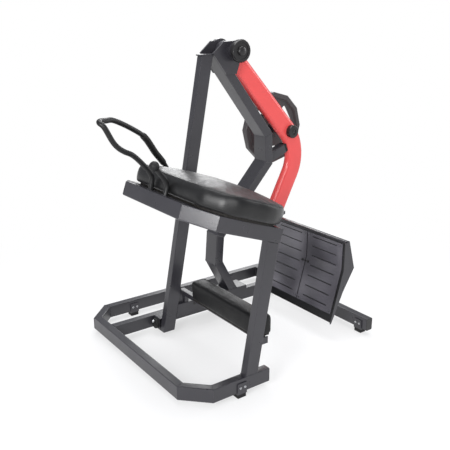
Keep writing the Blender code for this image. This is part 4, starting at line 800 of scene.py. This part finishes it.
def build_bench_pad():
    plan = rounded_plan(PAD_CORNERS, PAD_POINTS)
    rings = [pad_side_ring(plan, distance, height) for distance, height in PAD_SIDE]
    rim = drawn_in(plan, PAD_TOP_INSET)
    middle = sum(rim, Vector((0, 0))) / len(rim)
    rings += [pad_top_ring(rim, middle, 1 - k / PAD_TOP_RINGS) for k in range(1, PAD_TOP_RINGS)]
    bm = bmesh.new()
    last = loft(bm, rings, caps=1)[-1]
    peak = bench_point(middle.x, middle.y, BOARD_TOP + PAD_THICKNESS + PAD_CROWN)
    fan(bm, last, bm.verts.new(peak))
    pad = finish_piece("bench_cushion", bm, LEATHER, "frame", angle=75)
    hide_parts("bench_pad")
    held = []
    for row, (_, height) in enumerate(PAD_SIDE):
        if height < PAD_HELD_BELOW or height == GROOVE_HEIGHT:
            held += range(row * PAD_POINTS, (row + 1) * PAD_POINTS)
    fill_out(pad, held, PAD_CAP, PAD_SPARE)
    build_pad_seams(plan)


def build_pad_seams(plan):
    """Piping in the top seam and a row of stitches on each side of it."""
    def along_seam(distance, height):
        return [bench_point(p.x, p.y, BOARD_TOP + height) for p in drawn_in(plan, distance)]

    bm = bmesh.new()
    sweep(bm, along_seam(*PIPING_PLACE), PIPING_RADIUS, 8, closed=True)
    finish_piece("bench_cushion_piping", bm, PIPING, "frame")
    bm = bmesh.new()
    for place in STITCH_ROWS:
        add_stitches(bm, along_seam(*place))
    finish_piece("bench_cushion_stitches", bm, THREAD, "frame")


# Knee pad

KNEE_NEAR, KNEE_FAR = BASE_NEAR + TUBE_WIDTH + 0.002, 0.050
KNEE_FRONT, KNEE_REAR = -0.270, -0.160
KNEE_BOTTOM, KNEE_TOP = 0.288, 0.405
KNEE_MIDDLE = Vector((-0.215, 0.345))
KNEE_CORNER_STEPS = 10
KNEE_POINTS = 88
KNEE_STEPS = 44
# (distance from the end, distance inwards) round each end, over the end panel's seam
KNEE_END = (
    (0.0, 0.020), (0.0008, 0.012), (0.0030, 0.0065), (0.0060, 0.0030), (0.0085, 0.0022),
    (0.0098, 0.0030), (0.0112, 0.0022), (0.0150, 0.0008), (0.024, 0.0),
)
KNEE_END_LENGTH = KNEE_END[-1][0]
# The underside is flat on its board; the leather swells and is uneven above it
KNEE_FLAT_BELOW = 0.292
KNEE_SWELL, KNEE_UNEVEN, KNEE_SWELL_REACH = 0.0022, 0.0012, 0.10
# Held in the cloth simulation: rings this far drawn in or this near an end, and the underside
KNEE_HELD_INSET, KNEE_HELD_END, KNEE_HELD_BELOW = 0.0015, 0.011, 0.294
KNEE_CAP, KNEE_SPARE = 0.0035, 0.002
# Piping round each end: distance from the end, inset and radius; then the stitches beside it
KNEE_SEAM, KNEE_SEAM_INSET, KNEE_PIPING = 0.0098, 0.0022, 0.0016
KNEE_STITCH_OFFSET, KNEE_STITCH_INSET = 0.0062, -0.0004


def knee_section(distance):
    """The pad's outline seen from the side, drawn in by a distance."""
    left, right = KNEE_FRONT + distance, KNEE_REAR - distance
    low, high = KNEE_BOTTOM + distance * 0.3, KNEE_TOP - distance
    corners = (
        (right, high, 0.038),
        (left, high - 0.006, 0.014),
        (left + 0.004, low, 0.010),
        (right, low, 0.016),
    )
    shares = [step / KNEE_CORNER_STEPS for step in range(KNEE_CORNER_STEPS + 1)]
    outline = []
    for i, (x, z, radius) in enumerate(corners):
        here = Vector((x, z))
        before = (Vector(corners[i - 1][:2]) - here).normalized()
        after = (Vector(corners[(i + 1) % len(corners)][:2]) - here).normalized()
        reach = radius / math.tan(before.angle(after) / 2)
        outline += rounded_corner(here + before * reach, here, here + after * reach, shares)
    return evenly(outline, KNEE_POINTS)


def from_knee_end(y):
    return min(y - KNEE_NEAR, KNEE_FAR - y)


def knee_ring(y, distance):
    share = min(1.0, from_knee_end(y) / KNEE_SWELL_REACH)
    ring = []
    for p in knee_section(distance):
        loose = 0.0 if p.y < KNEE_FLAT_BELOW else 1.0
        swell = KNEE_SWELL * share * loose
        pull = KNEE_UNEVEN * noise.noise(Vector((p.x * 14, y * 7, p.y * 14))) * loose
        q = p + (p - KNEE_MIDDLE).normalized() * (swell + pull)
        ring.append(drawn(q.x, y, q.y))
    return ring


def build_knee_pad():
    """A long roll: crowned faces, rounded ends with a seam round each end panel."""
    first, last = KNEE_NEAR + KNEE_END_LENGTH, KNEE_FAR - KNEE_END_LENGTH
    stations = [(KNEE_NEAR + offset, distance) for offset, distance in KNEE_END]
    stations += [(first + (last - first) * k / KNEE_STEPS, 0.0) for k in range(1, KNEE_STEPS)]
    stations += [(KNEE_FAR - offset, distance) for offset, distance in reversed(KNEE_END)]
    rings = [knee_ring(y, distance) for y, distance in stations]
    bm = bmesh.new()
    loft(bm, rings)
    pad = finish_piece("knee_cushion", bm, KNEE_LEATHER_PAINTED_SHADE, "frame", angle=75)
    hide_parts("knee_pad")
    held = []
    for row, ((y, distance), ring) in enumerate(zip(stations, rings)):
        whole = distance > KNEE_HELD_INSET or from_knee_end(y) < KNEE_HELD_END
        held += [row * len(ring) + i for i, q in enumerate(ring) if whole or q.z < KNEE_HELD_BELOW]
    fill_out(pad, held, KNEE_CAP, KNEE_SPARE)
    build_knee_seams()


def build_knee_seams():
    piping = bmesh.new()
    threads = bmesh.new()
    for y, inwards in ((KNEE_NEAR + KNEE_SEAM, 1), (KNEE_FAR - KNEE_SEAM, -1)):
        seam = [drawn(p.x, y, p.y) for p in knee_section(KNEE_SEAM_INSET)]
        sweep(piping, seam, KNEE_PIPING, 6, closed=True)
        row = y + inwards * KNEE_STITCH_OFFSET
        add_stitches(threads, [drawn(p.x, row, p.y) for p in knee_section(KNEE_STITCH_INSET)])
    finish_piece("knee_cushion_piping", piping, PIPING, "frame")
    finish_piece("knee_cushion_stitches", threads, THREAD, "frame")


# Weld beads

BEAD_STEP = 0.0022
BEAD_SIDES = 6
# A bead turns a little wider than the tube's own corner, which has a radius of 0.006
BEAD_CORNER = 0.0062
# Shares of a bead's radius, its least and its lumps, and how close the lumps are
BEAD_LEAST, BEAD_LUMP, LUMP_SCALE = 0.86, 0.08, 90
RING_BEAD, RING_POINTS, RING_HEIGHT = 0.0024, 72, 0.0012
# How far a fillet's bead keeps off its corner
FILLET_OFF = 0.001


def rippled(k, height, advance):
    """The share of a bead's radius at its point k; advance is the ripples' turn per point."""
    return BEAD_LEAST + height * abs(math.sin(k * advance))


def weld_bead(bm, corners, radius, closed=False):
    """A rippled bead along a path of corner points."""
    points = []
    ends = corners + corners[:1] if closed else corners
    for a, b in zip(ends, ends[1:]):
        count = max(2, int((b - a).length / BEAD_STEP))
        points += [a.lerp(b, k / count) for k in range(count)]
    if not closed:
        points.append(ends[-1])
    radii = []
    for k, point in enumerate(points):
        lump = BEAD_LUMP * noise.noise(point * LUMP_SCALE)
        radii.append(radius * (rippled(k, height=0.20, advance=0.9) + lump))
    sweep(bm, points, radii, BEAD_SIDES, closed=closed)


def weld_ring(bm, middle, axis, radius):
    """A rippled bead round a bar's foot."""
    _, side, other = axes_of(axis)
    path = circle(middle, side, other, radius, RING_POINTS)
    radii = [RING_BEAD * rippled(k, height=0.22, advance=1.3) for k in range(RING_POINTS)]
    sweep(bm, path, radii, BEAD_SIDES, closed=True)


def blunted(corners):
    """Round the corners of a closed path, as the tube's own corners are."""
    path = []
    for i, corner in enumerate(corners):
        before = (corners[i - 1] - corner).normalized() * BEAD_CORNER
        after = (corners[(i + 1) % len(corners)] - corner).normalized() * BEAD_CORNER
        path += rounded_corner(corner + before, corner, corner + after, (0.0, 0.33, 0.67, 1.0))
    return path


# Handles

LOOP_POINTS = (
    (-0.611, -0.118, 1.096), (-0.609, -0.120, 1.126), (-0.623, -0.123, 1.157),
    (-0.650, -0.125, 1.190), (-0.691, -0.127, 1.233), (-0.726, -0.130, 1.262),
    (-0.765, -0.132, 1.281), (-0.802, -0.135, 1.307), (-0.832, -0.138, 1.343),
    (-0.871, -0.140, 1.413), (-0.886, -0.120, 1.434), (-0.866, -0.092, 1.437),
    (-0.826, -0.067, 1.433), (-0.776, -0.043, 1.428), (-0.699, -0.020, 1.394),
    (-0.619, 0.003, 1.350), (-0.563, 0.027, 1.313), (-0.515, 0.053, 1.261),
    (-0.468, 0.085, 1.209), (-0.416, 0.115, 1.159), (-0.372, 0.146, 1.115),
    (-0.347, 0.1655, 1.075),
)
SHORT_POINTS = (
    (-0.606, -0.262, 1.090), (-0.604, -0.262, 1.115), (-0.618, -0.262, 1.147),
    (-0.644, -0.262, 1.181), (-0.659, -0.262, 1.201),
)
BAR = 0.014
BAR_SIDES = 24
PATH_STEPS = 6
# Where the bars stand on the bench: (along, across)
LOOP_FOOT = (0.025, -0.115)
SHORT_FOOT = (0.025, -0.262)
LOOP_FAR_FOOT = (0.312, BENCH_FAR - BAR - GAP)
# The sleeve's radius, and the points of the loop's path that it covers
SLEEVE = 0.0188
SLEEVE_SPAN = (100, 125)
# Its rounded lip: radii, and their places between the sleeve's end and its fourth point
SLEEVE_LIP = ((0.0145, 0.0), (0.0168, 0.12), (0.0182, 0.30), (SLEEVE, 0.55))


def build_bar(name, path):
    bm = bmesh.new()
    sweep(bm, path, BAR, BAR_SIDES)
    return finish_piece(name, bm, GRIP, "frame")


def build_sleeve(path):
    """Foam sleeve on the bar that comes down to the far rail, with a lip at each end."""
    points, radii = list(path), [SLEEVE] * len(path)
    for k, (radius, share) in enumerate(SLEEVE_LIP):
        points[k] = path[0].lerp(path[3], share)
        points[-1 - k] = path[-1].lerp(path[-4], share)
        radii[k] = radii[-1 - k] = radius
    bm = bmesh.new()
    sweep(bm, points, radii, BAR_SIDES)
    finish_piece("loop_handle_sleeve", bm, FOAM, "frame")


def build_handles():
    loop_ends = [bench_point(*foot, GAP) for foot in (LOOP_FOOT, LOOP_FAR_FOOT)]
    between = [drawn(*p) for p in LOOP_POINTS]
    path = smooth_path(loop_ends[:1] + between + loop_ends[1:], PATH_STEPS)
    loop = build_bar("loop_handle_bar", path)
    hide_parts("loop_handle")
    build_sleeve(path[SLEEVE_SPAN[0]:SLEEVE_SPAN[1]])
    path = smooth_path([bench_point(*SHORT_FOOT, GAP)] + [drawn(*p) for p in SHORT_POINTS], PATH_STEPS)
    short = build_bar("short_handle_bar", path)
    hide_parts("short_handle")
    bm = bmesh.new()
    for foot in (LOOP_FOOT, SHORT_FOOT, LOOP_FAR_FOOT):
        weld_ring(bm, bench_point(*foot, RING_HEIGHT), UP, BAR + FILLET_OFF)
    finish_piece("handle_welds", bm, COAT, "frame")


# Welds of the main frame, post and near leg

# Front line of the main frame seen from the side, from its top to its foot: (x, z)
MAST_POINTS = (
    (post_rear(POST_TOP) + GAP, POST_TOP), (0.402, 1.190), (0.407, 1.030),
    (0.018, 0.600), (0.004, 0.400), (0.112, 0.2010),
)
# How far a mitre's bead stands proud of its tube
MITRE_PROUD = 0.0004
MITRE_BEAD, FOOT_BEAD, POST_BEAD = 0.0016, 0.0028, 0.003


def mast_corners():
    """(front, rear) corner points of the main frame's side at each mitre, then at its foot."""
    points = [Vector((x, 0, z)) for x, z in MAST_POINTS]
    sides = [(b - a).normalized().cross(Y) for a, b in zip(points, points[1:])]
    across = [(a + b) / (1 + a.dot(b)) for a, b in zip(sides, sides[1:])]
    across.append(X / X.dot(sides[-1]))
    return [(point, point + side * MAST_DEPTH) for point, side in zip(points[1:], across)]


def foot_bead(bm, front, rear, near, far, z):
    """A bead round the foot of an upright tube."""
    corners = ((front, near), (rear, near), (rear, far), (front, far))
    weld_bead(bm, blunted([drawn(x, y, z) for x, y in corners]), FOOT_BEAD, closed=True)


def build_frame_welds():
    bm = bmesh.new()
    *mitres, foot = mast_corners()
    near, far = MAST_NEAR - MITRE_PROUD, MAST_FAR + MITRE_PROUD
    for front, rear in mitres:
        outward = (rear - front).normalized() * MITRE_PROUD
        front, rear = front - outward + SHIFT, rear + outward + SHIFT
        loop = [front + Y * near, rear + Y * near, rear + Y * far, front + Y * far]
        weld_bead(bm, blunted(loop), MITRE_BEAD, closed=True)
    front, rear = foot
    foot_bead(bm, front.x, rear.x, MAST_NEAR, MAST_FAR, BEAM_TOP + FILLET_OFF)
    # Up the beam's side against the post, then along its top
    low, high = post_rear(BEAM_LOW) + FILLET_OFF, post_rear(BEAM_TOP) + FILLET_OFF
    path = [
        drawn(low, MAST_NEAR + FILLET_OFF, BEAM_LOW), drawn(high, MAST_NEAR + FILLET_OFF, BEAM_TOP),
        drawn(high, MAST_NEAR + POST_WIDTH, BEAM_TOP),
    ]
    weld_bead(bm, path, POST_BEAD)
    leg_rear = LEG_FRONT + POST_DEPTH / math.cos(LEG_LEAN)
    foot_bead(bm, LEG_FRONT, leg_rear, BASE_NEAR, BASE_NEAR + TUBE_WIDTH, BASE_TOP + FILLET_OFF)
    finish_piece("frame_weld_beads", bm, COAT, "frame")


# Welds at the corners of the base and the bench

BASE_OUTLINE = (
    (-0.216, BASE_NEAR), (-0.583, BASE_NEAR), (BASE_FRONT, -0.499),
    (BASE_FRONT, 0.498), (-0.583, BASE_FAR), (BASE_REAR, BASE_FAR),
)
BENCH_OUTLINE = (
    (BENCH_LENGTH, BASE_NEAR), (0.108, BASE_NEAR), (0.0, -0.464),
    (0.0, 0.1117), (0.045, BENCH_FAR), (BENCH_LENGTH, BENCH_FAR),
)
MIDDLE_RAIL_SIDES = (0.3033, 0.3533)
CORNER_BEAD, SQUARE_BEAD = 0.0011, 0.0024
CORNER_PROUD = 0.0003
# How far a bead keeps from the tube's rounded edges
CORNER_KEEP, CORNER_KEEP_TOP, SQUARE_KEEP_TOP = 0.006, 0.005, 0.004


def mitre_points(outline):
    """(outer, inner) corners at each bend of an open outline in the plane of a frame."""
    points = [Vector(p) for p in outline]
    found = []
    for before, here, after in zip(points, points[1:], points[2:]):
        first = (here - before).normalized()
        second = (after - here).normalized()
        inward = Vector((first.y, -first.x)) + Vector((second.y, -second.x))
        inward = inward / (1 + first.dot(second))
        found.append((here, here + inward * TUBE_WIDTH))
    return found


def corner_bead(bm, place, outer, inner, low, high):
    """A ground-down bead up the outer corner, over the top and down the inner corner."""
    inward = (inner - outer).normalized()
    proud, back = inward * CORNER_PROUD, inward * CORNER_KEEP_TOP
    path = (
        (outer - proud, low + CORNER_KEEP), (outer - proud, high - CORNER_KEEP),
        (outer + back, high + CORNER_PROUD), (inner - back, high + CORNER_PROUD),
        (inner + proud, high - CORNER_KEEP), (inner + proud, low + CORNER_KEEP),
    )
    weld_bead(bm, [place(*p, height) for p, height in path], CORNER_BEAD)


def build_corner_beads():
    bm = bmesh.new()
    for outer, inner in mitre_points(BASE_OUTLINE):
        corner_bead(bm, drawn, outer, inner, BASE_LOW, BASE_TOP)
    for outer, inner in mitre_points(BENCH_OUTLINE):
        corner_bead(bm, bench_point, outer, inner, -TUBE_HEIGHT, 0.0)
    # Square joints: crossbar on the far rail, middle rail on the front bar and the crossbar
    front, rear = BASE_FRONT + TUBE_WIDTH, BASE_REAR - TUBE_WIDTH
    places = [(x, BASE_FAR - TUBE_WIDTH) for x in (rear, BASE_REAR)]
    places += [(x, y) for x in (front, rear) for y in MIDDLE_RAIL_SIDES]
    for x, y in places:
        path = [drawn(x, y, BASE_LOW + CORNER_KEEP), drawn(x, y, BASE_TOP - SQUARE_KEEP_TOP)]
        weld_bead(bm, path, SQUARE_BEAD)
    finish_piece("corner_weld_beads", bm, COAT, "frame")


# Small hardware: profiles are (radius, height)

BOLT_PROFILE = (
    (0.0125, 0.0), (0.0125, 0.0014), (0.0090, 0.0014), (0.0088, 0.0050),
    (0.0070, 0.0078), (0.0040, 0.0094), (0, 0.0099),
)
PLUG_PROFILE = ((0.0105, 0.0), (0.0105, 0.0010), (0, 0.0011))
BUSH_PROFILE = ((0.02545, -0.0010), (0.02645, 0.0012), (0.0320, 0.0012), (0.0330, -0.0010))
BUSH_SIDES = 48
# The bolt sits high on the buffer, as in the photograph
BOLT_PLACE = drawn(-0.4123, 0.278, 0.086)
PLUG_PLACE = drawn(-0.1606, MAST_NEAR - GAP, 0.179)
PLATE_NEAR, PLATE_THICKNESS = 0.390, 0.045
BORE_FAR_END = drawn(0.64576, PLATE_NEAR + PLATE_THICKNESS, 1.20152)
GUSSET_TOP, GUSSET_LENGTH, GUSSET_TIP = 0.312, 0.046, 0.012
GUSSET_Y = MAST_NEAR + POST_WIDTH / 2
# Through the gusset's thickness: (offset, share by which its outline shrinks)
GUSSET_LEVELS = ((-0.004, 0.04), (-0.0028, 0.0), (0.0028, 0.0), (0.004, 0.04))
# The beads' radius, and their distance from the gusset's middle towards its near face
GUSSET_BEAD, GUSSET_BEAD_SIDE = 0.0022, 0.005


def build_bolt_and_plug():
    bm = bmesh.new()
    turned(bm, BOLT_PROFILE, BOLT_PLACE, -X)
    finish_piece("buffer_bolt", bm, ZINC, "frame")
    bm = bmesh.new()
    turned(bm, PLUG_PROFILE, PLUG_PLACE, -Y)
    finish_piece("beam_hole_plug", bm, PLASTIC, "frame")


def build_gusset():
    """A triangular plate on the raised beam behind the post, with a bead along two sides."""
    foot = BEAM_TOP + GAP
    low, high = (post_rear(z) + 2 * GAP for z in (foot, GUSSET_TOP))
    outline = [Vector((x, 0, z)) for x, z in (
        (low, foot), (low + GUSSET_LENGTH, foot), (low + GUSSET_LENGTH, foot + GUSSET_TIP),
        (high + GUSSET_TIP, GUSSET_TOP), (high, GUSSET_TOP),
    )]
    middle = sum(outline, Vector()) / len(outline)
    rings = []
    for offset, shrink in GUSSET_LEVELS:
        rings.append([p.lerp(middle, shrink) + Y * (GUSSET_Y + offset) + SHIFT for p in outline])
    bm = bmesh.new()
    loft(bm, rings)
    y = GUSSET_Y - GUSSET_BEAD_SIDE
    corner = drawn(low + FILLET_OFF, y, foot + FILLET_OFF)
    along, up = low + GUSSET_LENGTH - 2 * FILLET_OFF, GUSSET_TOP - 2 * FILLET_OFF
    for x, z in ((along, foot + FILLET_OFF), (high + FILLET_OFF, up)):
        weld_bead(bm, [corner, drawn(x, y, z)], GUSSET_BEAD)
    finish_piece("post_gusset", bm, COAT, "frame", angle=30)


def build_plate_bush():
    """Steel bush round the plate's bore, a little proud of its far face."""
    axis, side, other = axes_of(Y)
    rings = []
    for radius, height in BUSH_PROFILE:
        rings.append(circle(BORE_FAR_END + axis * height, side, other, radius, BUSH_SIDES))
    bm = bmesh.new()
    loops = loft(bm, rings, caps=0)
    bridge(bm, loops[-1], loops[0])
    finish_piece("plate_bush", bm, GROUND, "plate")


# Screws

SCREW_SEGMENTS = 24
# Radius and height of a head
FOOT_SCREW = (0.0066, 0.0056)
PANEL_SCREW = (0.0054, 0.0034)
SCREW_SPACING = 0.030
FOOT_PLATE_THICKNESS, FOOT_PLATE_HEIGHT = 0.006, 0.064
# How far up its plate a foot's screws sit
SCREW_SHARE = 0.62


def hexagon(middle, side, other, radius):
    """A six-sided ring with as many points as a screw's round rings."""
    points = []
    for step, point in enumerate(circle(middle, side, other, radius, SCREW_SEGMENTS)):
        from_flat = (2 * math.pi * step / SCREW_SEGMENTS) % (math.pi / 3) - math.pi / 6
        points.append(middle.lerp(point, math.cos(math.pi / 6) / math.cos(from_flat)))
    return points


def socket_screw(bm, place, axis, size):
    """A cap screw: chamfered head with a six-sided socket."""
    radius, height = size
    axis, side, other = axes_of(axis)
    rings = []
    for across, up in ((1.0, 0.0), (1.0, 0.72), (0.90, 1.0)):
        middle = place + axis * (height * up)
        rings.append(circle(middle, side, other, radius * across, SCREW_SEGMENTS))
    for across, up in ((0.56, 1.0), (0.54, 0.35)):
        rings.append(hexagon(place + axis * (height * up), side, other, radius * across))
    loft(bm, rings)


def build_foot_screws():
    height = BASE_LOW - FOOT_PLATE_THICKNESS + FOOT_PLATE_HEIGHT * SCREW_SHARE
    crossbar = BASE_REAR - TUBE_WIDTH
    feet = (
        (drawn(-0.4015, BASE_NEAR, height), -Y, X),
        (drawn(-0.385, BASE_FAR - TUBE_WIDTH, height), -Y, X),
        (drawn(crossbar, -0.470, height), -X, Y),
        (drawn(crossbar, 0.500, height), -X, Y),
    )
    bm = bmesh.new()
    for face, outward, along in feet:
        seat = face + outward * (GAP + FOOT_PLATE_THICKNESS)
        for side in (-1, 1):
            socket_screw(bm, seat + along * side * SCREW_SPACING / 2, outward, FOOT_SCREW)
    finish_piece("foot_screws", bm, ZINC, "frame")


# Platform details

PLATFORM_FRONT, PLATFORM_TOP, PANEL_BOTTOM, CREASE = 0.490, 0.625, 0.186, 0.462
PLATFORM_NEAR, PLATFORM_FAR = -0.477, 0.180
SIDE_PLATE, PANEL_RIM, PANEL_SEAM = 0.004, 0.018, 0.008
PANEL_LEAN = math.radians(15.6)
PANEL_NEAR = PLATFORM_NEAR + SIDE_PLATE + PANEL_RIM
PANEL_FAR = PLATFORM_FAR - SIDE_PLATE - PANEL_RIM
PANEL_SCREW_INSET = 0.014
SEAM = (PANEL_NEAR + PANEL_FAR) / 2
# The rubber link across the seam: height, half its span, its bar and its studs
LINK_Z, LINK_HALF, LINK_BAR = 0.430, 0.026, 0.0022
STUD_PROFILE = ((0.0075, 0.0), (0.0075, 0.0045), (0.0060, 0.0060), (0, 0.0062))


def panel_point(z, y, out=0.0):
    """A point on the panels' front face, and the direction it faces."""
    if z >= CREASE:
        return drawn(PLATFORM_FRONT - out, y, z), -X
    facing = Vector((-math.cos(PANEL_LEAN), 0, math.sin(PANEL_LEAN)))
    x = PLATFORM_FRONT - (CREASE - z) * math.tan(PANEL_LEAN)
    return drawn(x, y, z) + facing * out, facing


def build_platform_details():
    bm = bmesh.new()
    for near, far in ((PANEL_NEAR, SEAM - PANEL_SEAM / 2), (SEAM + PANEL_SEAM / 2, PANEL_FAR)):
        for y in (near + PANEL_SCREW_INSET, far - PANEL_SCREW_INSET):
            for z in (PLATFORM_TOP - PANEL_SCREW_INSET, PANEL_BOTTOM + PANEL_SCREW_INSET):
                socket_screw(bm, *panel_point(z, y), PANEL_SCREW)
    finish_piece("panel_screws", bm, BLACKENED, "swing_arm")
    bm = bmesh.new()
    ends = (SEAM - LINK_HALF, SEAM + LINK_HALF)
    for y in ends:
        turned(bm, STUD_PROFILE, *panel_point(LINK_Z, y), 20)
    first, last = (panel_point(LINK_Z, y, LINK_BAR)[0] for y in ends)
    sweep(bm, [first, first.lerp(last, 0.5), last], LINK_BAR, 10)
    finish_piece("panel_seam_link", bm, RUBBER, "swing_arm")


build_bench_pad()
build_knee_pad()
build_handles()
build_frame_welds()
build_corner_beads()
build_bolt_and_plug()
build_gusset()
build_plate_bush()
build_foot_screws()
build_platform_details()
